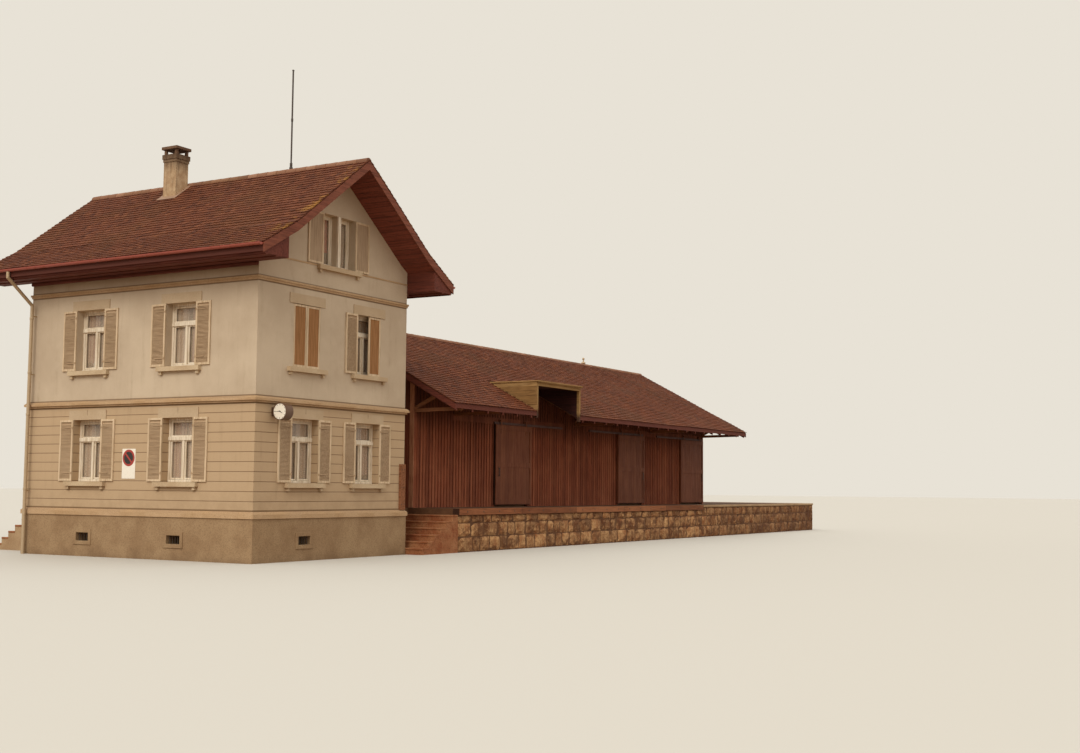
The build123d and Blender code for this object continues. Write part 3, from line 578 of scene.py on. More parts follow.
FINISHES: tuple[Finish, ...] = (
    Plaster("plaster", WALL_CODES, "track_wall street_wall track_gable street_gable"),
    # The west and east walls carry painted shade under the eaves.
    Plaster("plaster_under_eaves", WALL_CODES, "west_wall east_wall", 0.72),
    Masonry("plinth_render", "8f7252 a38764 644e38", "house_plinth", damp_level=-0.1, damp_height=0.45),
    Masonry("stone_trim", "b89e7c cab492 7c6246", "window_sills", grit=55.0),
    Masonry("window_heads", "b69e7e bea788 967e60", "window_lintels", grit=60.0),
    Masonry("band_mouldings", "b08f68 c0a17c 745639", "belt_course frieze_band plinth_course",
            grit=50.0, top_soil=0.6),
    Tiling("clay_tiles", "65361f 7a472a 492617 a0722e", "", 0.08, -5.7, -5.0),
    Tiling("shed_clay_tiles", "68361d 804928 482515 705632", "", 0.15),
    Tiling("ridge_clay", "865e46 9c745a 5e3e2d 8c6c42", "shed_ridge_tiles house_ridge_tiles", 0.3),
    Timber("soffit_boards", "864839 9a5b48 5e3026", "house_roof_west house_roof_east", Axis.Y,
           board=0.14, start=-18.585, board_change=0.35, ends="542b20"),
    # Brown eave paint, darkened further as painted shade, so that the fascias and the bed moulds merge
    # with the shade under the eaves.
    Timber("eave_paint_and_shade", "6a3426 804633 48231a",
           "eave_boxes shed_roof_front shed_roof_rear shed_verge_boards", Axis.Y, wear=0.3),
    Timber("verge_paint", "7f4733 985d43 562e21", "verge_boards", Axis.X, wear=0.35),
    Timber("window_paint", "e8dac2 f0e6d2 baa484", "window_frames attic_frames", wear=0.5, gloss=0.42),
    Timber("shutter_stiles", "d4bc9a dec8a8 ac9270", "shutters", wear=0.5),
    Timber("shutter_louvres", "b29675 bca282 967b5c", "", Axis.Y, wear=0.45),
    Timber("attic_shutters", "b09678 bea688 8c745a"),
    Timber("closed_shutters", "9c6e42 b08254 805732", wear=0.35),
    Pane("window_glass", "bea88e cebca2", "window_glass"),
    Coating("gutter_paint", "984838 683428", "house_gutters", 0.5, spots=0.25),
    Coating("downpipe_paint", "b09876 765a3e", "house_downpipes", 0.45),
    Coating("dark_iron", "423830 603e2a", "aerial_mast", 0.5, 0.2),
    Coating("rail_iron", "4e2e24 3a221a", "door_rails", 0.7),
    Timber("rough_sawn", "905e3e aa7a56 623c26", "corner_guard shed_brackets", Axis.Y, wear=0.5,
           gloss=0.8),
    Sooted("chimney_render", "a48462 bca07c 463224", "chimney_shaft"),
    Masonry("chimney_slab", "604634 7a5e46 34261d", "chimney_cap"),
    Coating("clock_enamel", "60422c 422c1e", "station_clock", 0.35),
    Coating("clock_dial", "ece4d2 ccb896", "", 0.25, spots=0.25),
    Coating("clock_marks", "221c18 3c3228", spots=0.2),
    Coating("plate_red", "a43428 7a3e2c", "", 0.35),
    Timber("door_oak", "70462a 8c603c 482c1b", "street_door", gloss=0.4),
    Timber("floor_planks", "805c3c 9a7652 543a26",
           "ground_floor upper_floor attic_floor shed_floor", Axis.X, Axis.Y, 0.14),
    Masonry("dock_blocks", "945e36 c89c6a 4c2b19", "dock_masonry", grit=18.0, cloud=3.5, toned=True,
            depth=0.016),
    Masonry("dock_mortar", "563824 6e4c32 382418", grit=60.0),
    Masonry("dock_concrete", "9e805e b49874 6c5036", "street_steps", grit=50.0),
    Masonry("worn_steps", "884c2c a2704a 502e1c", "dock_steps", grit=24.0, cloud=2.6, depth=0.01,
            top_soil=0.0),
    Timber("coping_timber", "925a38 aa744e 603822", "dock_coping", Axis.X, Axis.X, 3.46, -10.705,
           0.012, wear=0.45, gloss=0.8),
    Timber("shed_boards", BOARD_CODES, "shed_front_panels shed_door_heads shed_rear_wall",
           start=-10.485, **BOARDS),
    Timber("shed_gable_boards", BOARD_CODES, "shed_gables", across=Axis.Y, start=-3.584, **BOARDS),
    Timber("goods_door_boards", "784228 8e5839 582f1c",
           "goods_door_left goods_door_middle goods_door_right", board=0.161, start=-6.095,
           joint=0.004, gloss=0.6, board_change=0.3),
    # The dormer's foot carries painted shade below the eave line.
    Timber("dormer_boards", "9e7a4a b69462 70502e", "loading_dormer", Axis.Y, wear=0.45, gloss=0.7,
           painted_shade=(4.16, 4.42, 0.92, 0.0)),
    Timber("dormer_cheeks", "886438 a07c4c 604225", "", Axis.Y, gloss=0.7),
    Timber("corner_boards", "b67c5a c89470 86543a", wear=0.5),
    # Dark boards as painted shade inside the loading dormer.
    Timber("dormer_shade_lining", "42201b 583026 281411", "", Axis.Y, Axis.Z, 0.15, wear=0.3),
    Coating("roof_sheet", "96765d 70543e", "", 0.6, 0.1),
    Cloth("net_curtain", "f0e0ca c4a488"),
    Cloth("rose_curtain", "e8c8b0 a05446", "", 78.0),
    Cloth("red_curtain", "fa2426 e21a1e", "", 80.0),
)


PALETTE: dict[str, Material] = {}


def mix_palette() -> None:
    """Builds every finish, and puts it into the material slots of the solids that it dresses."""
    for finish in FINISHES:
        PALETTE[finish.name] = finish.material()
        for name in finish.solids.split():
            solid = frame["nodes"][name]
            if not solid.material_slots:
                solid.data.materials.append(PALETTE[finish.name])
            for place in solid.material_slots:
                place.material = PALETTE[finish.name]
            log.info("%s: dressed with %s", name, finish.name)


# ---- the modelling bench


def clear() -> None:
    """Deselects everything."""
    bpy.ops.object.select_all(action="DESELECT")


def make_active(piece: Object) -> None:
    """Selects one piece and nothing else."""
    clear()
    piece.select_set(True)
    bpy.context.view_layer.objects.active = piece


def named(name: str) -> Object:
    """Gives the active piece its name, and puts its place, turn and scale into its mesh."""
    piece = bpy.context.object
    piece.name = piece.data.name = name
    bpy.ops.object.transform_apply(location=True, rotation=True, scale=True)
    return piece


def modified(piece: Object, kind: str, **settings: Any) -> Object:
    """Changes a piece with an applied modifier.

    Args:
        piece: The piece.
        kind: The kind of modifier.
        **settings: The modifier's settings by name.

    Returns:
        The piece.
    """
    make_active(piece)
    bpy.ops.object.modifier_add(type=kind)
    modifier = piece.modifiers[-1]
    for key, value in settings.items():
        setattr(modifier, key, value)
    bpy.ops.object.modifier_apply(modifier=modifier.name)
    return piece


def bevel(piece: Object, width: float, segments: int = 1, angle: float = 35.0) -> Object:
    """Rounds a piece's sharp edges."""
    return modified(piece, "BEVEL", width=width, segments=segments, limit_method="ANGLE",
                    angle_limit=math.radians(angle))


def thicken(piece: Object, thickness: float, offset: float = -1.0) -> Object:
    """Gives a flat piece its thickness."""
    return modified(piece, "SOLIDIFY", thickness=thickness, offset=offset)


def repeat(piece: Object, count: int, step: Point) -> Object:
    """Repeats a piece in a row."""
    return modified(piece, "ARRAY", count=count, use_relative_offset=False, use_constant_offset=True,
                    constant_offset_displace=step)


def block(name: str, low: Sequence[float], high: Sequence[float], edge: float = 0.0,
          segments: int = 1) -> Object:
    """Adds a cube stretched between two corners, as the start of a piece.

    Args:
        name: The piece's name.
        low: Its lowest corner.
        high: Its highest corner.
        edge: How much its edges are rounded.
        segments: In how many steps they are rounded.

    Returns:
        The new object.
    """
    clear()
    first, last = Vector(low), Vector(high)
    bpy.ops.mesh.primitive_cube_add(size=1.0, location=(first + last) / 2)
    bpy.context.object.scale = last - first
    piece = named(name)
    return bevel(piece, edge, segments) if edge > 0 else piece


def disc(name: str, centre: Point, radius: float, depth: float, axis: Axis, sides: int = 32,
         edge: float = 0.0, segments: int = 1) -> Object:
    """Adds a round bar along an axis, as the start of a piece.

    Args:
        name: The piece's name.
        centre: The bar's middle.
        radius: Its radius.
        depth: Its length.
        axis: The axis it lies along.
        sides: How many flat sides it has.
        edge: How much its edges are rounded.
        segments: In how many steps they are rounded.

    Returns:
        The new object.
    """
    clear()
    quarter = math.pi / 2
    turn = {Axis.X: (0.0, quarter, 0.0), Axis.Y: (quarter, 0.0, 0.0), Axis.Z: (0.0, 0.0, 0.0)}[axis]
    bpy.ops.mesh.primitive_cylinder_add(vertices=sides, radius=radius, depth=depth, location=centre,
                                        rotation=turn)
    piece = named(name)
    return bevel(piece, edge, segments) if edge > 0 else piece


@contextmanager
def editing() -> Iterator[None]:
    """Opens the active piece in edit mode with everything selected."""
    bpy.ops.object.mode_set(mode="EDIT")
    bpy.ops.mesh.select_all(action="SELECT")
    yield
    bpy.ops.object.mode_set(mode="OBJECT")


@contextmanager
def picking(piece: Object, kind: str, rule: Callable[[Any], bool]) -> Iterator[None]:
    """Opens the active piece in edit mode with only some of its parts selected.

    Args:
        piece: The piece.
        kind: Whether points, edges or faces are picked: VERT, EDGE or FACE.
        rule: Says for each of them whether it is picked.
    """
    bpy.ops.object.mode_set(mode="EDIT")
    bpy.ops.mesh.select_mode(type=kind)
    bpy.ops.mesh.select_all(action="DESELECT")
    bpy.ops.object.mode_set(mode="OBJECT")
    mesh = piece.data
    parts = {"VERT": mesh.vertices, "EDGE": mesh.edges, "FACE": mesh.polygons}[kind]
    parts.foreach_set("select", [bool(rule(part)) for part in parts])
    bpy.ops.object.mode_set(mode="EDIT")
    yield
    bpy.ops.object.mode_set(mode="OBJECT")


@contextmanager
def reshaping(piece: Object) -> Iterator[np.ndarray]:
    """Gives the places of a mesh's points, one row each, and puts the points there afterwards."""
    places = np.empty((len(piece.data.vertices), 3), np.float64)
    piece.data.vertices.foreach_get("co", places.ravel())
    yield places
    piece.data.vertices.foreach_set("co", places.astype(np.float32).ravel())
    piece.data.update()


def bisect(level: float, direction: int) -> None:
    """Cuts the active piece off beyond a level and closes the cut."""
    with editing():
        bpy.ops.mesh.bisect(plane_co=(0, 0, level), plane_no=(0, 0, direction), clear_outer=True,
                            use_fill=True)


def subdivide() -> None:
    """Divides every face of the active piece in four each way."""
    with editing():
        bpy.ops.mesh.subdivide(number_cuts=3)


def ring(name: str, low: Pair, high: Pair, front: float, depth: float, border: float,
         edge: float = 0.004) -> Object:
    """A flat frame in the XY plane: a plane is inset, opened, thickened and bevelled.

    Args:
        name: The piece's name.
        low: Its lowest X and Y.
        high: Its highest X and Y.
        front: The height of its front face.
        depth: How far it goes back from there.
        border: How wide its members are.
        edge: How much its edges are rounded.

    Returns:
        The new object.
    """
    clear()
    middle = ((low[0] + high[0]) / 2, (low[1] + high[1]) / 2, front)
    bpy.ops.mesh.primitive_plane_add(size=1.0, location=middle)
    bpy.context.object.scale = (high[0] - low[0], high[1] - low[1], 1.0)
    piece = named(name)
    with editing():
        bpy.ops.mesh.inset(thickness=border, depth=0.0)
        bpy.ops.mesh.delete(type="FACE")
    return bevel(thicken(piece, depth), edge)


def twin(piece: Object, name: str, place: Matrix = Matrix.Identity(4)) -> Object:
    """A copy of a piece with a mesh of its own, moved by a matrix."""
    copy = piece.copy()
    copy.data = piece.data.copy()
    copy.name = copy.data.name = name
    copy.data.transform(place)
    if place.determinant() < 0:
        copy.data.flip_normals()
    bpy.context.scene.collection.objects.link(copy)
    return copy


def discard(*pieces: Object) -> None:
    """Removes pattern pieces once their copies are made."""
    for piece in pieces:
        bpy.data.objects.remove(piece)


def joined(name: str, pieces: Sequence[Object]) -> Object:
    """Joins pieces into one object."""
    clear()
    for piece in pieces:
        piece.select_set(True)
    bpy.context.view_layer.objects.active = pieces[0]
    if len(pieces) > 1:
        bpy.ops.object.join()
    result = bpy.context.object
    result.name = result.data.name = name
    return result


def tone_faces(piece: Object, tones: np.ndarray) -> None:
    """Keeps a tone from 0 to 1 on each face, for its material."""
    layer = piece.data.attributes.new("tone", "FLOAT", "FACE")
    layer.data.foreach_set("value", tones.astype(np.float32))


def dressed(piece: Object, finish: str) -> Object:
    """Gives a piece one of the palette's materials."""
    piece.data.materials.clear()
    piece.data.materials.append(PALETTE[finish])
    return piece


def settle(name: str, pieces: Sequence[Object], finish: str, slot: Slot,
           body: Body = Body.BUILDING, stands_for: str = "", smooth: float = 0.0) -> Object:
    """Joins and dresses a finished piece and lets it ride on its body.

    Args:
        name: The piece's name.
        pieces: What it is joined from.
        finish: Its finish, or nothing where its parts have been dressed before.
        slot: Not used.
        body: What it moves with.
        stands_for: The node that it is shown in place of.
        smooth: The angle up to which its edges are shaded smooth, or 0 for flat faces.

    Returns:
        The piece.
    """
    piece = joined(name, pieces)
    if smooth > 0:
        make_active(piece)
        bpy.ops.object.shade_smooth_by_angle(angle=math.radians(smooth))
    if stands_for:
        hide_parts(stands_for)
    if finish:
        dressed(piece, finish)
    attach(piece, body.value)
    log.info("%s: %d faces, moves with %s", name, len(piece.data.polygons), body.value)
    return piece


def shift(x: float = 0.0, y: float = 0.0, z: float = 0.0) -> Matrix:
    """A move."""
    return Matrix.Translation((x, y, z))


def turned(angle: float, axis: str) -> Matrix:
    """A turn by degrees about an axis."""
    return Matrix.Rotation(math.radians(angle), 4, axis)


def placed(right: Iterable[float], up: Iterable[float], out: Iterable[float],
           spot: Iterable[float]) -> Matrix:
    """A matrix from its three directions and its place."""
    return Matrix([*zip(right, up, out, spot), (0.0, 0.0, 0.0, 1.0)])


# ---- plan and walls


class Wall(Enum):
    """A side of the house: which way its face looks."""

    WEST = (-1, 0)
    EAST = (1, 0)
    TRACK = (0, -1)
    STREET = (0, 1)

    def upright(self, spot: Point) -> Matrix:
        """The matrix that carries a piece from the XY plane onto an upright face at a spot."""
        out = Vector((*self.value, 0.0))
        return placed(Vector((0, 0, 1)).cross(out), (0, 0, 1), out, spot)


@dataclass(frozen=True)
class Plan:
    """The station's main lines, read from the solids."""

    west_x: float
    east_x: float
    track_y: float
    street_y: float
    dock_x: float

    @property
    def ridge_x(self) -> float:
        """The house's middle line."""
        return (self.west_x + self.east_x) / 2

    def wall_x(self, side: int) -> float:
        """The face of the west wall for -1, or of the east wall for 1."""
        return self.west_x if side < 0 else self.east_x

    def face(self, wall: Wall, place: float, level: float) -> Matrix:
        """The matrix that carries a piece from the XY plane onto a wall's face.

        Args:
            wall: The side of the house.
            place: The distance along the wall from its track or west corner.
            level: The height.

        Returns:
            Local X runs along the wall to the right, Y up and Z outwards.
        """
        spots = {Wall.WEST: (self.west_x, self.track_y + place),
                 Wall.EAST: (self.east_x, self.track_y + place),
                 Wall.TRACK: (self.west_x + place, self.track_y),
                 Wall.STREET: (self.west_x + place, self.street_y)}
        return wall.upright((*spots[wall], level))


def read_plan() -> Plan:
    """Reads the main lines from the frame."""
    return Plan(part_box("west_wall")[0].x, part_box("east_wall")[1].x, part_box("track_wall")[0].y,
                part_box("street_wall")[1].y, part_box("dock_coping")[0].x)


@dataclass
class Assembly:
    """The base of every sub-assembly, which holds the station's plan."""

    plan: Plan


# ---- roofs


@dataclass
class TileField:
    """A slope's tiles: one tile is modelled, repeated in rows, then laid unevenly as by hand."""

    name: str
    origin: Vector
    along: Vector
    up: Vector
    columns: int
    rows: int
    finish: str
    pitch: float
    exposure: float
    seed: int
    overhang: float = 0.03
    gap: tuple[float, float, float] | None = None
    tile_length: float = 0.205
    tile_width: float = 0.166
    thickness: float = 0.016
    rise: float = 0.019
    corner: float = 0.03
    smallest: float = 0.05

    def one_tile(self) -> Object:
        """Models the tile: a block with its two lower corners cut and its head lowered."""
        foot = self.rise - 0.001
        piece = block("tile", (0.0, 0.0, foot),
                      (self.tile_width, self.tile_length, foot + self.thickness))

        def at_corner(edge: bpy.types.MeshEdge) -> bool:
            """Whether an edge stands upright at the tile's foot."""
            first, last = (piece.data.vertices[index].co for index in edge.vertices)
            return max(first.y, last.y) < 0.001 and abs(first.z - last.z) > 0.005

        with picking(piece, "EDGE", at_corner):
            bpy.ops.mesh.bevel(offset=self.corner, segments=1)
        with reshaping(piece) as places:
            places[:, 2] -= self.rise * places[:, 1] / self.exposure
        return piece

    def lay(self) -> None:
        """Lays the whole field on its slope."""
        piece = self.one_tile()
        count = len(piece.data.vertices)
        repeat(piece, self.columns + 1, (self.pitch, 0.0, 0.0))
        repeat(piece, self.rows, (0.0, self.exposure, 0.0))
        rng = np.random.default_rng(self.seed)
        normal = self.along.cross(self.up)
        with reshaping(piece) as points:
            places = points.reshape(-1, count, 3)
            self.unsettle(places, rng)
            keep = self.trim(places)
            tones = np.clip(rng.normal(0.5, 0.24, len(places)), 0.0, 1.0)
            turn = np.array([self.along[:], self.up[:], normal[:]])
            points[:] = points @ turn + np.array(self.origin[:])[None, :]
        tone_faces(piece, np.repeat(tones, len(piece.data.polygons) // len(places)))
        if not keep.all():
            make_active(piece)
            with picking(piece, "VERT", lambda point: not keep[point.index // count]):
                bpy.ops.mesh.delete(type="VERT")
        if normal.z < 0:
            piece.data.flip_normals()
        settle(self.name, [piece], self.finish, Slot.TILE)

    def unsettle(self, places: np.ndarray, rng: np.random.Generator) -> None:
        """Shifts every second row by half a tile and lays each tile a little unevenly.

        Args:
            places: The points of each tile, which are moved.
            rng: The source of unevenness.
        """
        number, count = np.arange(len(places)), places.shape[1]
        row, column = number // (self.columns + 1), number % (self.columns + 1)
        places[:, :, 0] -= np.where(row % 2 == 0, 0.0, self.pitch / 2)[:, None]
        places[:, :, 0] += rng.normal(0, 0.0022, len(places))[:, None]
        places[:, :, 1] += rng.normal(0, 0.004, len(places))[:, None] - self.overhang
        lift = np.abs(rng.normal(0, 0.0022, (len(places), 2)))
        side = (np.arange(count) % 2)[None, :]
        places[:, :, 2] += lift[:, :1] * side + lift[:, 1:] * (1 - side)
        wave = 0.006 * np.sin(column * 0.21 + row * 0.13) + 0.004 * np.sin(column * 0.07 - row * 0.31)
        places[:, :, 2] += wave[:, None] + 0.004

    def trim(self, places: np.ndarray) -> np.ndarray:
        """Cuts the tiles at the field's ends and round the gap.

        Args:
            places: The points of each tile, which are moved.

        Returns:
            For each tile, whether it stays.
        """
        across = places[:, :, 0]
        width = self.columns * self.pitch
        keep = (np.minimum(across.max(1), width) - np.maximum(across.min(1), 0.0)) > self.smallest
        across[:] = np.clip(across, 0.0, width)
        if self.gap is not None:
            first, last, height = self.gap
            middle = across.mean(1)
            beside = places[:, :, 1].min(1) < height
            keep &= ~(beside & (middle > first - 0.02) & (middle < last + 0.02))
            for edge, outside, limit in ((first, middle < first, np.minimum),
                                         (last, middle > last, np.maximum)):
                chosen = beside & (np.abs(middle - edge) < self.pitch) & outside
                across[chosen] = limit(across[chosen], edge)
        return keep


@dataclass
class RidgeLine:
    """Half-round ridge tiles, each lapped over the next."""

    name: str
    node: str
    axis: Axis
    finish: str
    length: float = 0.335
    bed: float = 0.03
    most_radius: float = 0.125

    def build(self) -> None:
        """Models one ridge tile and lays the line."""
        low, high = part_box(self.node)
        middle = (low + high) / 2
        radius = min((high - low)[1 - self.axis.value] / 2 + 0.012, self.most_radius)
        start, end = low[self.axis.value], high[self.axis.value]
        count = max(1, round((end - start) / self.length))
        step = (end - start) / count
        piece = disc("ridge_tile", (0.0, 0.0, 0.0), radius, step, Axis.Y, 16)
        bisect(-self.bed, -1)
        bevel(piece, 0.006)
        rng = np.random.default_rng(8)
        copies = []
        for index in range(count):
            taper = Matrix.Diagonal((1.0 + 0.02 * rng.uniform(-1, 1), 0.985, 1.0, 1.0))
            place = shift(y=start + step * (index + 0.5))
            tilt = turned(-1.1 + 0.5 * rng.uniform(-1, 1), "X")
            copy = twin(piece, "ridge", place @ tilt @ taper)
            tone_faces(copy, np.full(len(copy.data.polygons), np.clip(rng.normal(0.5, 0.25), 0, 1)))
            copies.append(copy)
        discard(piece)
        line = joined(self.name, copies)
        if self.axis is Axis.Y:
            line.data.transform(shift(middle.x, 0.0, high.z - radius))
        else:
            line.data.transform(shift(0.0, middle.y, high.z - radius) @ turned(-90.0, "Z"))
        settle(self.name, [line], self.finish, Slot.TILE, stands_for=self.node)


@dataclass
class HouseRoof(Assembly):
    """The house's tiles, ridge, eave fittings, gutter straps, chimney and mast fittings."""

    break_inward: float = 0.3
    eave_out: float = 0.9
    eave_slope: float = 0.58
    main_slope: float = 0.752
    eave_level: float = 7.521
    verge_track: float = -5.702
    strap_pitch: float = 0.82
    post_width: float = 0.08

    @property
    def foot_run(self) -> float:
        """How far the flatter foot reaches across."""
        return self.eave_out + self.break_inward

    @property
    def break_level(self) -> float:
        """The height where the slope grows steeper."""
        return self.eave_level + self.eave_slope * self.foot_run

    def build(self) -> None:
        """Builds everything on the roof."""
        self.tiles()
        RidgeLine("house_ridge", "house_ridge_tiles", Axis.Y, "ridge_clay").build()
        self.bed_moulds()
        self.gutter_straps()
        self.chimney()
        self.mast_sleeves()

    def tiles(self) -> None:
        """Lays the two slopes, each with its flatter foot."""
        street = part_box("house_roof_west")[1].y
        length = street - self.verge_track
        columns = round(length / TILE_PITCH)
        pitch = length / columns
        foot_rows, main_rows = 9, 22
        for side, name in ENDS:
            wall_x = self.plan.wall_x(side)
            along = Vector((0, side, 0))
            start_y = self.verge_track if side > 0 else street
            foot_up = Vector((-side, 0, self.eave_slope)).normalized()
            main_up = Vector((-side, 0, self.main_slope)).normalized()
            break_x = wall_x - side * self.break_inward
            foot_length = math.hypot(1, self.eave_slope) * self.foot_run
            main_length = math.hypot(1, self.main_slope) * abs(self.plan.ridge_x - break_x)
            TileField(f"house_tiles_foot_{name}",
                      Vector((wall_x + side * self.eave_out, start_y, self.eave_level)), along, foot_up,
                      columns, foot_rows, "clay_tiles", pitch, foot_length / foot_rows, 11 + side).lay()
            TileField(f"house_tiles_{name}", Vector((break_x, start_y, self.break_level)), along,
                      main_up, columns, main_rows, "clay_tiles", pitch,
                      (main_length + 0.008) / main_rows, 21 + side, overhang=0.05).lay()

    def bed_moulds(self) -> None:
        """The bed mould where each soffit meets its wall, in the dark eave paint as painted shade."""
        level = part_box("attic_floor")[1].z
        for side, name in ENDS:
            wall_x = self.plan.wall_x(side)
            edges = sorted((wall_x, wall_x + side * 0.07))
            mould = block("mould", (edges[0], self.plan.track_y - 0.02, level - 0.09),
                          (edges[1], self.plan.street_y + 0.02, level + 0.001), 0.03, 3)
            settle(f"bed_mould_{name}", [mould], "eave_paint_and_shade", Slot.STONE_TRIM)

    def gutter_straps(self) -> None:
        """Bent straps that carry the gutters."""
        low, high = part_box("house_gutters")
        for side, name in ENDS:
            edge_x = low.x + 0.065 if side < 0 else high.x - 0.065
            strap = disc("strap", (edge_x, 0.0, high.z), 0.0645, 0.028, Axis.Y, 24)
            bisect(high.z + 0.004, 1)
            hollow = twin(strap, "hollow")
            with reshaping(hollow) as places:
                centre = np.array([edge_x, 0.0, high.z])
                places[:] = (places - centre) * (0.93, 1.6, 0.93) + (0.0, 0.0, 0.02) + centre
            modified(strap, "BOOLEAN", object=hollow, solver="EXACT")
            discard(hollow)
            strap.data.transform(shift(y=low.y + 0.3))
            repeat(strap, int((high.y - low.y) / self.strap_pitch), (0.0, self.strap_pitch, 0.0))
            settle(f"gutter_straps_{name}", [strap], "gutter_paint", Slot.GUTTER)

    def chimney(self) -> None:
        """A bevelled slab on four posts over the smoke gap, and the apron at the foot."""
        low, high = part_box("chimney_shaft")
        cap_low, cap_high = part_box("chimney_cap")
        slab = block("slab", (cap_low.x, cap_low.y, cap_high.z - 0.085), cap_high)
        subdivide()
        pieces = [bevel(slab, 0.012, 2)]
        inset = (cap_high.x - cap_low.x - 0.46) / 2
        for x in (cap_low.x + inset, cap_high.x - inset - self.post_width):
            for y in (cap_low.y + inset, cap_high.y - inset - self.post_width):
                pieces.append(block("post", (x, y, high.z - SKIN),
                                    (x + self.post_width, y + self.post_width, cap_high.z - 0.08),
                                    0.012, 2))
        settle("chimney_cap_slab", pieces, "chimney_slab", Slot.PLASTER,
               stands_for="chimney_cap")
        neck = 0.036
        self.apron(Vector((low.x + neck, low.y + neck)), Vector((high.x - neck, high.y - neck)))

    def apron(self, low: Vector, high: Vector) -> None:
        """Lays a sheet apron that follows the tiles round the chimney's foot.

        Args:
            low: The X and Y of the chimney's lowest corner.
            high: The X and Y of its highest corner.
        """
        lap, out, ends = 0.005, 0.12, (low.x - 0.02, high.x + 0.1)
        pieces = []
        for x_from, x_to, y_from, y_to in ((low.x - 0.14, low.x + lap, low.y - out, high.y + out),
                                           (*ends, low.y - out, low.y + lap),
                                           (*ends, high.y - lap, high.y + out)):
            piece = block("apron", (x_from, y_from, 0.0), (x_to, y_to, 0.008))
            with reshaping(piece) as places:
                inward = places[:, 0] - self.plan.west_x - self.break_inward
                places[:, 2] += self.break_level + self.main_slope * inward + 0.052
            pieces.append(bevel(piece, 0.003))
        settle("chimney_apron", pieces, "roof_sheet", Slot.DARK_METAL)

    def mast_sleeves(self) -> None:
        """Steps the mast: a thicker foot, a joint sleeve and a small cap."""
        low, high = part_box("aerial_mast")
        centre = (low + high) / 2
        spans = ((low.z + 0.03, low.z + 0.16, 0.036), (low.z + 1.3, low.z + 1.38, 0.03),
                 (high.z - 0.03, high.z - SKIN, 0.03))
        pieces = [disc("sleeve", (centre.x, centre.y, (z_from + z_to) / 2), radius, z_to - z_from,
                       Axis.Z, 20, 0.004, 2) for z_from, z_to, radius in spans]
        settle("mast_sleeves", pieces, "dark_iron", Slot.DARK_METAL)


# ---- the house's walls


@dataclass(frozen=True)
class WindowSpot:
    """One window of the two storeys."""

    wall: Wall
    place: float
    sill: float
    matrix: Matrix
    left_shut: bool
    right_shut: bool

    @property
    def tag(self) -> str:
        """A short name for the window's pieces."""
        return f"{self.wall.name.lower()}_{int(self.sill * 100)}_{int(self.place * 100)}"


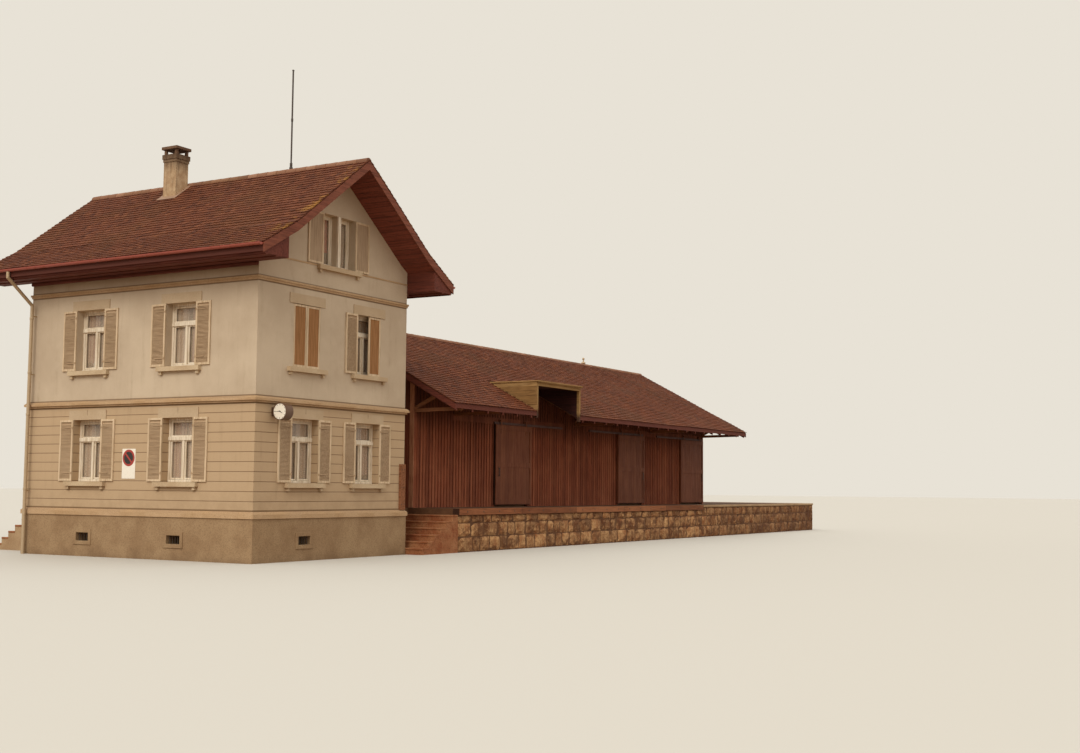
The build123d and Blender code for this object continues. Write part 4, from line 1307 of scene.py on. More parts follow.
@dataclass
class Windows(Assembly):
    """Casements' sashes and bars, curtains and louvred shutters."""

    width: float = 1.03
    height: float = 1.6
    ground_sill: float = 1.925
    upper_sill: float = 4.805
    attic_sill: float = 7.51
    attic_width: float = 0.6
    attic_height: float = 1.36
    attic_post: float = 0.11
    reveal: float = 0.21
    frame_depth: float = 0.07
    transom: float = 1.088
    leaf_width: float = 0.5
    leaf_depth: float = 0.038
    slat_pitch: float = 0.031
    fullness: float = 0.032
    side_places: Pair = (2.52, 5.75)
    gable_places: Pair = (1.83, 4.37)

    def spots(self) -> list[WindowSpot]:
        """The windows of both storeys, the street door's place left out."""
        found = []
        for sill in (self.ground_sill, self.upper_sill):
            for wall in Wall:
                on_side = wall in (Wall.WEST, Wall.EAST)
                for place in self.side_places if on_side else self.gable_places:
                    first = place == self.gable_places[0]
                    if wall is Wall.STREET and first and sill == self.ground_sill:
                        continue
                    shut = wall is Wall.TRACK and sill == self.upper_sill
                    found.append(WindowSpot(wall, place, sill, self.plan.face(wall, place, sill),
                                            shut and first, shut))
        return found

    def attic(self, wall: Wall, along: float = 0.0) -> Matrix:
        """The place of a gable's attic window, moved along its wall."""
        return self.plan.face(wall, (self.plan.east_x - self.plan.west_x) / 2 + along, self.attic_sill)

    def build(self) -> None:
        """Builds the windows' fittings."""
        self.sashes()
        self.curtains()
        self.shutters()
        self.hinges()

    def sash_pattern(self) -> Object:
        """Models one window's sashes, transom moulding, meeting stile and sill rail."""
        front = -self.reveal
        face, back = front - 0.012, front - 0.02
        inner, foot = 0.035, 0.066
        half = self.width / 2 - 0.062
        left, right = -half + 0.004, half - 0.004
        low_top = self.transom - 0.031 - 0.004
        edge_x = self.width / 2 - SKIN
        return joined("sash_pattern", [
            ring("sash", (left, foot), (-inner, low_top), face, 0.04, 0.042),
            ring("sash", (inner, foot), (right, low_top), face, 0.04, 0.042),
            ring("sash", (left, self.transom + 0.035), (right, self.height - foot), face, 0.04, 0.045),
            block("transom", (-edge_x, self.transom - 0.05, back),
                  (edge_x, self.transom + 0.05, front + 0.028), 0.012, 2),
            block("stile", (-0.034, 0.05, back), (0.034, self.transom - 0.045, front + 0.02), 0.009, 2),
            block("rail", (-edge_x, 0.0, back), (edge_x, 0.06, front + 0.016), 0.01, 2),
        ])

    def sashes(self) -> None:
        """Sets the sashes into every window and both gables' lights."""
        pattern = self.sash_pattern()
        copies = [twin(pattern, "sash", spot.matrix) for spot in self.spots()]
        half, edge = self.attic_width / 2, 0.058
        light = ring("light", (-half + edge, edge), (half - edge, self.attic_height - edge),
                     -self.reveal - 0.012, 0.04, 0.04)
        post = block("post", (-edge, 0.0, -0.045), (edge, self.attic_height, 0.012), 0.01, 2)
        step = (self.attic_width + self.attic_post) / 2
        for wall in (Wall.TRACK, Wall.STREET):
            copies += [twin(light, "light", self.attic(wall, side * step)) for side in (-1, 1)]
            copies.append(twin(post, "post", self.attic(wall)))
        discard(pattern, light, post)
        settle("window_sashes", copies, "window_paint", Slot.WINDOW)

    def curtain(self, name: str, spot: Matrix, span: Sequence[float], drop: Pair, folds: float,
                cloth: str) -> None:
        """Hangs one gathered curtain just inside a pane.

        Args:
            name: The piece's name.
            spot: The window's place on its wall.
            span: Where it starts and ends along the wall.
            drop: The heights of its foot and head.
            folds: How many folds it has.
            cloth: Its cloth's name.
        """
        fine = int(folds * 12)
        across = np.linspace(0.0, 1.0, fine + 1)
        depth = self.fullness * (0.8 + 0.2 * np.sin(across * 9.0))
        run = span[0] + across * (span[1] - span[0])
        out = -self.reveal - self.frame_depth - 0.06 - depth * np.sin(across * folds * 2 * math.pi)
        cut = np.concatenate([[0.0], np.cumsum(np.hypot(np.diff(run), np.diff(out)))])
        clear()
        bpy.ops.mesh.primitive_grid_add(x_subdivisions=fine, y_subdivisions=6, size=1.0,
                                        location=(0, 0, 0))
        piece = named(name)
        with reshaping(piece) as places:
            index = np.clip(np.rint((places[:, 0] + 0.5) * fine).astype(int), 0, fine)
            height = drop[0] + (places[:, 1] + 0.5) * (drop[1] - drop[0])
            corners = np.empty(len(piece.data.loops), np.int32)
            piece.data.loops.foreach_get("vertex_index", corners)
            uv = np.stack([cut[index][corners], height[corners]], 1)
            piece.data.uv_layers[0].data.foreach_set("uv", uv.astype(np.float32).ravel())
            places[:] = np.stack([run[index], height, out[index]], 1)
        piece.data.transform(spot)
        settle(name, [piece], cloth, Slot.WINDOW, smooth=80.0)

    def curtains(self) -> None:
        """Hangs net and rose curtains in the storeys and a red and a white one in the attic."""
        for number, spot in enumerate(self.spots()):
            if spot.left_shut:
                continue
            kind = number % 3
            foot, gap = ((0.08, 0.02), (0.06, 0.07), (0.24, 0.04))[kind]
            for side, letter in ((-1, "l"), (1, "r")):
                cloth = "net_curtain" if (number + (side > 0)) % 2 else "rose_curtain"
                self.curtain(f"curtain_{spot.tag}_{letter}", spot.matrix,
                             sorted((side * 0.49, side * gap)), (foot, 1.53), 5.0 + kind, cloth)
        step = (self.attic_width + self.attic_post) / 2
        for wall in (Wall.TRACK, Wall.STREET):
            for side, cloth, foot in ((-1, "red_curtain", 0.42), (1, "net_curtain", 0.08)):
                self.curtain(f"curtain_attic_{wall.name.lower()}_{side + 1}",
                             self.attic(wall, side * step), (-0.26, 0.26), (foot, 1.28), 6.0, cloth)

    def shutter_pattern(self, width: float, height: float, boards: str = "") -> Object:
        """Models one leaf: stiles and rails round tilted slats, or round flat boards.

        Args:
            width: The leaf's width.
            height: The leaf's height.
            boards: The finish of flat boards, or none for slats.

        Returns:
            The leaf, its back on the XY plane and its foot at Y 0.01.
        """
        foot, depth, border = 0.01, self.leaf_depth, 0.055
        rim = ring("leaf_frame", (SKIN, foot), (width - SKIN, height), depth, depth - SKIN, border)
        parts = [dressed(rim, "shutter_stiles")]
        low_x, high_x = border - 0.01, width - border + 0.01
        if boards:
            field = block("leaf_board", (low_x, foot + border - 0.01, 0.003),
                          (high_x, height - border + 0.01, depth - 0.012), 0.003)
            return joined("leaf_pattern", parts + [dressed(field, boards)])
        slat = block("slat", (border - 0.004, -0.004, -0.019), (width - border + 0.004, 0.004, 0.019))
        slat.data.transform(turned(58.0, "X"))
        slat.data.transform(shift(0.0, foot + border + 0.018, depth / 2 + SKIN))
        count = int((height - foot - 2 * border - 0.026) / self.slat_pitch)
        repeat(slat, count, (0.0, self.slat_pitch, 0.0))
        back = block("leaf_back", (low_x, foot + 0.04, 0.003), (high_x, height - 0.04, 0.008), 0.001)
        return joined("leaf_pattern", parts + [dressed(part, "shutter_louvres")
                                               for part in (slat, back)])

    def shutters(self) -> None:
        """Hangs every leaf: open against the wall, or closed in the track side's upper windows."""
        open_leaf = self.shutter_pattern(self.leaf_width, self.height)
        closed_leaf = self.shutter_pattern(self.width / 2 - SKIN, self.height - 0.01, "closed_shutters")
        attic_leaf = self.shutter_pattern(self.attic_width, self.attic_height, "attic_shutters")
        copies = []
        sunk, half = shift(z=-self.leaf_depth), self.width / 2
        for spot in self.spots():
            for shut, shut_x, open_x in ((spot.left_shut, -half, -half - self.leaf_width),
                                         (spot.right_shut, SKIN, half)):
                if shut:
                    copies.append(twin(closed_leaf, "leaf", spot.matrix @ sunk @ shift(shut_x)))
                else:
                    copies.append(twin(open_leaf, "leaf", spot.matrix @ shift(open_x)))
        reach = self.attic_post / 2 + self.attic_width
        for wall in (Wall.TRACK, Wall.STREET):
            for along in (-reach - self.attic_width, reach):
                copies.append(twin(attic_leaf, "leaf", self.attic(wall) @ shift(along)))
        discard(open_leaf, closed_leaf, attic_leaf)
        settle("shutter_leaves", copies, "", Slot.SHUTTER, stands_for="shutters")

    def hinges(self) -> None:
        """Hinges on the open leaves."""
        face = self.leaf_depth
        strap = block("strap", (0.0, -0.014, face), (0.30, 0.014, face + 0.005), 0.002)
        pin = disc("pin", (0.0, 0.0, face + SKIN), 0.011, 0.06, Axis.Y, 10)
        hinge = joined("hinge", [strap, pin])
        copies = []
        for spot in self.spots():
            if spot.right_shut:
                continue
            for height in (0.22, self.height - 0.2):
                for side in (-1, 1):
                    mirror = Matrix.Diagonal((side, 1.0, 1.0, 1.0))
                    place = shift(side * (self.width / 2 + 0.012), height)
                    copies.append(twin(hinge, "hinge", spot.matrix @ place @ mirror))
        discard(hinge)
        settle("shutter_hinges", copies, "shutter_louvres", Slot.SHUTTER)


@dataclass
class WallFittings(Assembly):
    """Clock dials, wall plate, door panels, cellar grilles, bolts and sockets."""

    dial_radius: float = 0.193
    clock_level: float = 3.65

    def build(self) -> None:
        """Builds the pieces on and at the walls."""
        self.clock()
        self.plate()
        self.street_door()
        self.cellar_grilles()
        self.guard_bolts()
        self.pipe_sockets()

    def clock(self) -> None:
        """A dial on each face with its marks and hands, and the hoop round the case."""
        low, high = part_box("station_clock")
        y, z = low.y + 0.21, self.clock_level
        dials, marks = [], []
        for x, side in ((low.x, -1), (high.x if high.x - low.x < 0.3 else low.x + 0.26, 1)):
            dial_x = x - side * 0.009
            face = dial_x + side * 0.002
            dials.append(disc("dial", (dial_x, y, z), self.dial_radius, 0.004, Axis.X, 48, 0.001))
            for hour in range(12):
                long = 0.034 if hour % 3 == 0 else 0.022
                mark = block("mark", (-0.002, -0.006, 0.0), (0.0025, 0.006, long))
                mark.data.transform(shift(face, y, z) @ turned(hour * 30, "X")
                                    @ shift(z=self.dial_radius - 0.012 - long))
                marks.append(bevel(mark, 0.001))
            for angle, long, half in ((118.0, 0.10, 0.0095), (268.0, 0.148, 0.0065)):
                hand = block("hand", (0.0, -half, -0.03), (0.003, half, long))
                for vertex in hand.data.vertices:
                    if vertex.co.z > 0:
                        vertex.co.y *= 0.35
                back = face + side * 0.002 - (0.003 if side < 0 else 0.0)
                hand.data.transform(shift(back, y, z) @ turned(-angle * side, "X"))
                marks.append(hand)
            marks.append(disc("boss", (face + side * 0.003, y, z), 0.014, 0.005, Axis.X, 16, 0.001))
        settle("clock_dials", dials, "clock_dial", Slot.CLOCK)
        settle("clock_marks", marks, "clock_marks", Slot.DARK_METAL)
        hoop = disc("hoop", (low.x + 0.13, y, z), 0.2085, 0.26, Axis.X, 48)
        with picking(hoop, "FACE", lambda face: abs(face.normal.x) > 0.9):
            bpy.ops.mesh.inset(thickness=0.013, use_individual=True)
            bpy.ops.mesh.delete(type="FACE")
        thicken(hoop, 0.0045, 1.0)
        settle("clock_hoop", [hoop], "clock_enamel", Slot.CLOCK, smooth=40.0)

    def plate(self) -> None:
        """The wall plate, with its disc, field and bar."""
        place = self.plan.face(Wall.WEST, 4.195, 2.0)
        middle = 0.53
        board = block("plate", (-0.235, 0.0, 0.0), (0.235, 0.76, 0.012), 0.006, 2)
        red = disc("red", (0.0, middle, 0.0145), 0.212, 0.005, Axis.Z, 48, 0.0015)
        field = disc("field", (0.0, middle, 0.0175), 0.158, 0.003, Axis.Z, 48, 0.001)
        bar = block("bar", (-0.165, -0.022, 0.0175), (0.165, 0.022, 0.0205))
        bar.data.transform(shift(y=middle) @ turned(-45, "Z"))
        sign = joined("wall_plate", [dressed(board, "clock_dial"), dressed(red, "plate_red"),
                                     dressed(field, "clock_marks"), dressed(bar, "plate_red")])
        sign.data.transform(place)
        settle("wall_plate", [sign], "", Slot.CLOCK)

    def street_door(self) -> None:
        """Raised panels, a stile, a kick board and a handle for the street door."""
        place = self.plan.face(Wall.STREET, 1.83, 1.23)
        front = -0.21
        back = front - 0.004
        pieces = []
        for x_from, x_to in ((-0.40, -0.03), (0.03, 0.40)):
            for z_from, z_to in ((0.2, 0.82), (0.92, 1.95)):
                panel = block("panel", (x_from, z_from, back), (x_to, z_to, front + 0.012))
                with picking(panel, "FACE", lambda face: face.normal.z > 0.9):
                    bpy.ops.mesh.inset(thickness=0.035, depth=-0.008)
                    bpy.ops.mesh.inset(thickness=0.02, depth=0.01)
                pieces.append(bevel(panel, 0.003))
        pieces.append(block("stile", (-0.022, 0.04, back), (0.022, 2.08, front + 0.022), 0.006, 2))
        pieces.append(block("kick", (-0.44, 0.02, back), (0.44, 0.15, front + 0.016), 0.005, 2))
        door = joined("door", pieces)
        door.data.transform(place)
        settle("street_door_panels", [door], "door_oak", Slot.DOOR)
        handle = joined("handle", [
            disc("knob", (0.075, 1.02, front + 0.035), 0.012, 0.03, Axis.Z, 16, 0.003, 2),
            disc("grip", (0.13, 1.02, front + 0.055), 0.011, 0.13, Axis.X, 16, 0.003, 2),
            disc("rose", (0.075, 0.99, front + 0.022), 0.024, 0.008, Axis.Z, 20, 0.003, 2),
        ])
        handle.data.transform(place)
        settle("street_door_handle", [handle], "dark_iron", Slot.DARK_METAL, smooth=35.0)

    def cellar_grilles(self) -> None:
        """Bars in the cellar openings and a raised surround round each."""
        bars, surrounds = [], []
        for wall, along in ((Wall.WEST, 2.52), (Wall.WEST, 5.75), (Wall.TRACK, 1.83)):
            place = self.plan.face(wall, along, 0.4)
            bar = disc("bar", (-0.18, 0.105, -0.02), 0.008, 0.214, Axis.Y, 10)
            bars.append(repeat(bar, 5, (0.09, 0.0, 0.0)))
            surrounds.append(ring("surround", (-0.325, -0.1), (0.325, 0.31), 0.072, 0.03, 0.1, 0.006))
            for piece in (bars[-1], surrounds[-1]):
                piece.data.transform(place)
        settle("cellar_bars", bars, "dark_iron", Slot.DARK_METAL)
        settle("cellar_surrounds", surrounds, "plinth_render", Slot.PLINTH)

    def guard_bolts(self) -> None:
        """The bolts of the timber guard on the corner."""
        low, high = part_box("corner_guard")
        bolts = [disc("bolt", (x, low.y - 0.005, z), 0.014, 0.012, Axis.Y, 12, 0.003)
                 for z in (low.z + 0.15, low.z + 0.62, high.z - 0.15)
                 for x in (low.x + 0.06, high.x - 0.06)]
        settle("guard_bolts", bolts, "dark_iron", Slot.DARK_METAL)

    def pipe_sockets(self) -> None:
        """Sockets at the downpipes' joints."""
        low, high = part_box("house_downpipes")
        middle = (low.y + high.y) / 2
        sockets = [disc("socket", (x, middle, z), 0.053, 0.07, Axis.Z, 24, 0.006, 2)
                   for x in (self.plan.west_x - 0.155, self.plan.east_x + 0.155)
                   for z in (1.72, 3.7, 4.82, 6.28)]
        settle("pipe_sockets", sockets, "downpipe_paint", Slot.GUTTER, smooth=35.0)


# ---- the dock


@dataclass
class StoneCourses:
    """Stones laid in courses: a few rough blocks are modelled, then stretched and set in rows."""

    seed: int = 31
    patterns_made: int = 6
    joint: float = 0.014
    depth: float = 0.10

    def __post_init__(self) -> None:
        """Models the blocks and starts the source of unevenness."""
        self.patterns = [self.rough_block(number) for number in range(self.patterns_made)]
        self.rng = np.random.default_rng(self.seed)
        self.stones: list[Object] = []

    def rough_block(self, number: int) -> Object:
        """Models one unit block with a rough face, pushed about in its own way."""
        piece = block(f"stone_{number}", (-0.5, -0.5, -0.5), (0.5, 0.5, 0.5))
        subdivide()
        rng = np.random.default_rng(self.seed + number)
        with reshaping(piece) as places:
            front = places[:, 2] > 0.49
            rim = (np.abs(places[:, 0]) > 0.49) | (np.abs(places[:, 1]) > 0.49)
            places[front & ~rim, 2] += rng.uniform(-0.02, 0.18, int((front & ~rim).sum()))
            places[front & rim, 2] -= rng.uniform(0.12, 0.3, int((front & rim).sum()))
            plane = places[:, :2]
            plane += rng.uniform(-0.018, 0.018, plane.shape) * (~rim)[:, None]
            plane -= np.sign(plane) * (rng.uniform(0, 0.028, plane.shape) * rim[:, None])
        return bevel(piece, 0.02, 1, 50.0)

    def lay(self, face: Matrix, start: float, end: float, foot: float, top: float) -> None:
        """Sets one course of stones along a face.

        Args:
            face: The matrix of the dock's face.
            start: Where the course begins along the face.
            end: Where it ends.
            foot: Its lower level.
            top: Its upper level.
        """
        rng, spot = self.rng, start
        while spot < end - 0.01:
            long = float(rng.uniform(0.38, 0.86))
            if end - spot - long < 0.3:
                long = end - spot
            turn = 180.0 if rng.random() < 0.5 else 0.0
            place = shift(spot + long / 2, (foot + top) / 2, -0.064 + rng.uniform(0, 0.007))
            size = Matrix.Diagonal((long - self.joint, top - foot - self.joint, self.depth, 1.0))
            pattern = self.patterns[int(rng.integers(len(self.patterns)))]
            stone = twin(pattern, "stone", face @ place @ size @ turned(turn, "Z"))
            tone = float(np.clip(rng.normal(0.42, 0.26), 0, 1))
            tone_faces(stone, np.full(len(stone.data.polygons), tone))
            self.stones.append(stone)
            spot += long


@dataclass
class Dock(Assembly):
    """The dock's facing stones over a set-back core, its edges and the worn steps."""

    height: float = 1.25
    courses: tuple[float, ...] = (0.43, 0.40, 0.34)
    coping_joint: float = 0.185
    edge_joint: float = 0.085
    set_back: float = 0.03
    edge_width: float = 0.3
    step_count: int = 6
    street_level: float = 1.23

    def build(self) -> None:
        """Builds the dock."""
        self.core()
        self.facing()
        self.edges()
        self.treads()
        self.coping_bolts()

    def core(self) -> None:
        """The mass behind the stones: the solid with its outer faces set back."""
        low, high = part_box("dock_masonry")
        core = twin(frame["nodes"]["dock_masonry"], "dock_core")
        core.parent = None
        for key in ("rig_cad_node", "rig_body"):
            if key in core:
                del core[key]
        make_active(core)
        with editing():
            bpy.ops.mesh.remove_doubles(threshold=0.0001)
        with reshaping(core) as places:
            for axis, face, move in ((1, low.y, self.set_back), (0, high.x, -self.set_back),
                                     (1, high.y, -self.set_back)):
                places[np.abs(places[:, axis] - face) < 0.001, axis] += move
        settle("dock_core", [core], "dock_mortar", Slot.DOCK, stands_for="dock_masonry")

    def facing(self) -> None:
        """Lays the stones of the front, the end and the back."""
        low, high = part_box("dock_masonry")
        west = self.plan.dock_x
        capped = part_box("dock_coping")[1].x - west
        masonry = StoneCourses()
        under_coping, under_edge = self.height - self.coping_joint, self.height - self.edge_joint
        for name, wall, spot, run in (
            ("front", Wall.TRACK, (west, low.y, 0.0), high.x - west),
            ("end", Wall.EAST, (high.x - 0.02, low.y, 0.0), high.y - low.y),
            ("back", Wall.STREET, (high.x, high.y, 0.0), high.x - low.x),
        ):
            face, foot = wall.upright(spot), 0.008
            for rise in self.courses[:-1]:
                masonry.lay(face, 0.0, run, foot, foot + rise)
                foot += rise
            if name == "front":
                masonry.lay(face, 0.0, capped, foot, under_coping)
                masonry.lay(face, capped, run, foot, under_edge)
            else:
                masonry.lay(face, 0.0, run, foot, under_edge)
            settle(f"dock_stones_{name}", masonry.stones, "dock_blocks", Slot.DOCK)
            masonry.stones = []
        discard(*masonry.patterns)

    def edges(self) -> None:
        """Thin concrete edges beyond the timber, with a cut every few metres."""
        low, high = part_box("dock_masonry")
        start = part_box("dock_coping")[1].x
        gap, front_width, fronts, ends, backs = 0.004, 0.28, 5, 4, 12
        spans = []
        step = (high.x - start) / fronts
        for number in range(fronts):
            spans.append((start + number * step + gap, low.y - 0.012,
                          start + (number + 1) * step - gap, low.y + front_width))
        depth = high.y - low.y - 0.284
        for number in range(ends):
            y_from = low.y + 0.284 + number * depth / ends
            spans.append((high.x - self.edge_width, y_from, high.x - SKIN,
                          y_from + depth / ends - 2 * gap))
        step = (high.x - low.x - 0.304) / backs
        for number in range(backs):
            spans.append((low.x + number * step, high.y - self.edge_width,
                          low.x + (number + 1) * step - 2 * gap, high.y - SKIN))
        slabs = [block("slab", (x_from, y_from, self.height - 0.08), (x_to, y_to, self.height + gap),
                       0.01, 2) for x_from, y_from, x_to, y_to in spans]
        settle("dock_edges", slabs, "dock_concrete", Slot.DOCK)

    def treads(self) -> None:
        """Worn treads with rounded nosings on the dock's steps and the street steps."""
        rng = np.random.default_rng(3)
        low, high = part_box("dock_steps")
        going, rise = 0.29, self.height / (self.step_count + 1)
        treads = []
        for number in range(self.step_count):
            x, z = low.x + number * going, (number + 1) * rise
            tread = block("tread", (x - 0.022, low.y - 0.006, z - 0.045),
                          (x + going, high.y, z + 0.006))
            self.wear(tread, Axis.Y, rng)
            treads.append(bevel(tread, 0.012, 2))
        settle("dock_treads", treads, "worn_steps", Slot.STEP)
        low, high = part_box("street_steps")
        going, rise = 0.27, self.street_level / (self.step_count + 1)
        treads = []
        for number in range(self.step_count):
            y, z = low.y + 0.7 + number * going, self.street_level - (number + 1) * rise
            tread = block("tread", (low.x - 0.012, y, z - 0.045),
                          (high.x + 0.012, y + going, z + 0.006))
            self.wear(tread, Axis.X, rng)
            treads.append(bevel(tread, 0.01, 2))
        treads.append(block("landing", (low.x - 0.015, low.y + SKIN, 1.18),
                            (high.x + 0.015, low.y + 0.722, 1.236), 0.012, 2))
        settle("street_treads", treads, "worn_steps", Slot.STEP)

    def wear(self, tread: Object, axis: Axis, rng: np.random.Generator) -> None:
        """Divides a tread along its length and hollows it a little where feet fall.

        Args:
            tread: The tread.
            axis: The axis that its length lies along.
            rng: The source of unevenness.
        """
        make_active(tread)
        along, parts = axis.value, 7
        low = min(point[along] for point in tread.bound_box)
        high = max(point[along] for point in tread.bound_box)
        normal = [float(number == along) for number in range(3)]
        for number in range(1, parts):
            spot = [0.0, 0.0, 0.0]
            spot[along] = low + (high - low) * number / parts
            with editing():
                bpy.ops.mesh.bisect(plane_co=spot, plane_no=normal)
        with reshaping(tread) as places:
            share = (places[:, along] - low) / (high - low)
            upper = places[:, 2] > places[:, 2].mean()
            hollow = 0.009 * np.sin(share[upper] * math.pi)
            places[upper, 2] -= hollow + rng.uniform(0, 0.002, int(upper.sum()))

    def coping_bolts(self) -> None:
        """The bolts of the timber baulks."""
        low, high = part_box("dock_coping")
        first, pitch, count = 0.43, 0.865, 20
        bolts = [disc("bolt", (low.x + first + number * pitch, low.y - 0.004, high.z - 0.09), 0.02,
                      0.014, Axis.Y, 12, 0.004) for number in range(count)]
        settle("coping_bolts", bolts, "dark_iron", Slot.DARK_METAL)


# ---- the goods shed


@dataclass
class Shed(Assembly):
    """Battens, rafters, tiles, ridge, dormer dressing and the doors' stiles and pulls."""

    slope: float = 0.531
    ridge_y: float = -0.384
    ridge_z: float = 6.910
    eave_out: float = 4.99
    wall_out: float = 3.2
    roof_depth: float = 0.14
    tile_rows: int = 36
    batten_pitch: float = 0.16
    batten_proud: float = 0.014
    batten_width: float = 0.03
    gable_battens: int = 31
    leaf_reach: float = 2.4
    rafter_count: int = 27
    rafter_width: float = 0.07
    cheek_boards: int = 7
    finial_x: float = 5.8

    def build(self) -> None:
        """Builds the shed's pieces."""
        self.tiles()
        RidgeLine("shed_ridge", "shed_ridge_tiles", Axis.X, "ridge_clay").build()
        self.battens()
        self.corners()
        self.rafters()
        self.dormer()
        self.dormer_shade_lining()
        self.leaves()
        self.finial()

    def under(self, y: float) -> float:
        """Height of the roof's underside at a place across the shed."""
        return self.ridge_z - self.slope * abs(y - self.ridge_y) - self.roof_depth

    def tiles(self) -> None:
        """Lays both slopes, the front one round the loading dormer."""
        low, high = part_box("shed_roof_front")
        dormer_low, dormer_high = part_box("loading_dormer")
        west, east = low.x - 0.034, high.x + 0.034
        length = east - west
        columns = round(length / TILE_PITCH)
        steepness = math.hypot(1.0, self.slope)
        run = steepness * self.eave_out
        height = (self.eave_out - abs(dormer_high.y - self.ridge_y)) * steepness
        gap = (dormer_low.x + 0.03 - west, dormer_high.x - 0.03 - west, height - 0.05)
        for side, name in SLOPES:
            start = Vector((west if side < 0 else east, self.ridge_y + side * self.eave_out,
                            self.ridge_z - self.slope * self.eave_out))
            TileField(f"shed_tiles_{name}", start, Vector((-side, 0, 0)),
                      Vector((0, -side, self.slope)).normalized(), columns, self.tile_rows,
                      "shed_clay_tiles", length / columns, (run - 0.03) / self.tile_rows,
                      41 + side, gap=gap if side < 0 else None).lay()

    def batten_row(self, pattern: Object, spots: Iterable[tuple[float, float, float]], face: float,
                   side: int, axis: Axis) -> list[Object]:
        """Sets battens on a wall's face.

        Args:
            pattern: The one modelled batten, a unit block.
            spots: Each batten's place along the wall, its foot and its head.
            face: The wall's face.
            side: Which way the face looks along the other axis.
            axis: The axis that the wall runs along.

        Returns:
            The battens.
        """
        half = self.batten_width / 2
        edges = sorted((face - side * SKIN, face + side * self.batten_proud))
        row = []
        for spot, foot, head in spots:
            if head - foot < 0.05:
                continue
            low, high = (edges[0], spot - half, foot), (edges[1], spot + half, head)
            if axis is Axis.X:
                low, high = (spot - half, edges[0], foot), (spot + half, edges[1], head)
            row.append(self.batten(pattern, low, high))
        return row

    def batten(self, pattern: Object, low: Point, high: Point) -> Object:
        """A copy of the batten, stretched between two corners with its rounded ends kept short."""
        size = [last - first for first, last in zip(low, high)]
        copy = twin(pattern, "batten", shift(*low) @ Matrix.Diagonal((*size, 1.0)))
        foot, head, rounded = low[2], high[2], 0.12 * size[2]
        with reshaping(copy) as places:
            lower = places[:, 2] < foot + rounded + 0.001
            places[lower, 2] = np.maximum(foot, foot + (places[lower, 2] - foot) * 0.02)
            upper = places[:, 2] > head - rounded - 0.001
            places[upper, 2] = head - (head - places[upper, 2]) * 0.02
        return copy

    def battens(self) -> None:
        """Covers the boards' joints on the four walls, clear of the doorways and leaves."""
        pattern = block("batten", (0.0, 0.0, 0.0), (1.0, 1.0, 1.0), 0.12)
        low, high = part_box("shed_front_panels")
        rails_low, rails_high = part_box("door_rails")
        above_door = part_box("shed_door_heads")[0].z + 0.006
        leaves = [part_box(name) for name in ("goods_door_left", "goods_door_middle", "goods_door_right")]
        openings = [(first.x + 0.08, last.x - 0.08) for first, last in leaves]
        count = int((high.x - low.x) / self.batten_pitch)
        front = []
        for number in range(1, count + 1):
            x = low.x + number * self.batten_pitch
            if x > high.x - 0.06:
                continue
            inside = any(first - 0.03 < x < last + 0.03 for first, last in openings)
            foot, head = above_door if inside else low.z + SKIN, self.under(low.y) - 0.004
            if any(first - self.leaf_reach < x < last + self.leaf_reach for first, last in openings):
                front += [(x, foot, rails_low.z - 0.004), (x, rails_high.z + 0.125, head)]
            else:
                front.append((x, foot, head))
        settle("shed_battens_front", self.batten_row(pattern, front, low.y, -1, Axis.X),
               "shed_boards", Slot.SHED)
        low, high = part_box("shed_rear_wall")
        places = (low.x + number * self.batten_pitch for number in range(1, count + 1))
        rear = [(x, low.z + SKIN, self.under(high.y) - 0.004) for x in places if x < high.x - 0.06]
        settle("shed_battens_rear", self.batten_row(pattern, rear, high.y, 1, Axis.X),
               "shed_boards", Slot.SHED)
        low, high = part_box("shed_gables")
        places = (low.y + 0.08 + number * self.batten_pitch for number in range(self.gable_battens))
        spots = [(y, low.z + SKIN, self.under(y) - 0.02) for y in places if y < high.y - 0.05]
        gables = [batten for face, side in ((low.x, -1), (high.x, 1))
                  for batten in self.batten_row(pattern, spots, face, side, Axis.Y)]
        settle("shed_battens_gables", gables, "shed_gable_boards", Slot.SHED)
        discard(pattern)

    def corners(self) -> None:
        """The gable ends' corner boards, which close the corners with those of the long walls."""
        low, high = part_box("shed_gables")
        proud, width = 0.018, 0.14
        boards = []
        for x, side in ((low.x, -1), (high.x, 1)):
            for y, out in ((low.y - 0.12, -1), (high.y + 0.12, 1)):
                edges = sorted((x - side * SKIN, x + side * proud))
                across = sorted((y + out * proud, y - out * width))
                boards.append(block("corner", (edges[0], across[0], low.z + 0.003),
                                    (edges[1], across[1], self.under(y) - 0.02), 0.004))
        settle("shed_corner_boards", boards, "corner_boards", Slot.SHED)

    def rafters(self) -> None:
        """Rafters under the overhanging eaves, front and rear."""
        low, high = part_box("shed_roof_front")
        dormer_low, dormer_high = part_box("loading_dormer")
        step = (high.x - low.x - 0.2) / (self.rafter_count - 1)
        for side, name in SLOPES:
            wall_y = self.ridge_y + side * self.wall_out - side * 0.01
            ends = sorted((wall_y, self.ridge_y + side * (self.eave_out - 0.04)))
            rafter = block("rafter", (0.0, ends[0], -0.095), (self.rafter_width, ends[1], 0.0))
            with reshaping(rafter) as places:
                places[:, 2] += np.array([self.under(y) for y in places[:, 1]]) + 0.002
            bevel(rafter, 0.006)
            copies = []
            for number in range(self.rafter_count):
                x = low.x + 0.1 + number * step
                if side > 0 or not dormer_low.x - 0.1 < x < dormer_high.x + 0.1:
                    copies.append(twin(rafter, "rafter", shift(x - self.rafter_width / 2)))
            discard(rafter)
            settle(f"shed_rafters_{name}", copies, "soffit_boards", Slot.SHED)

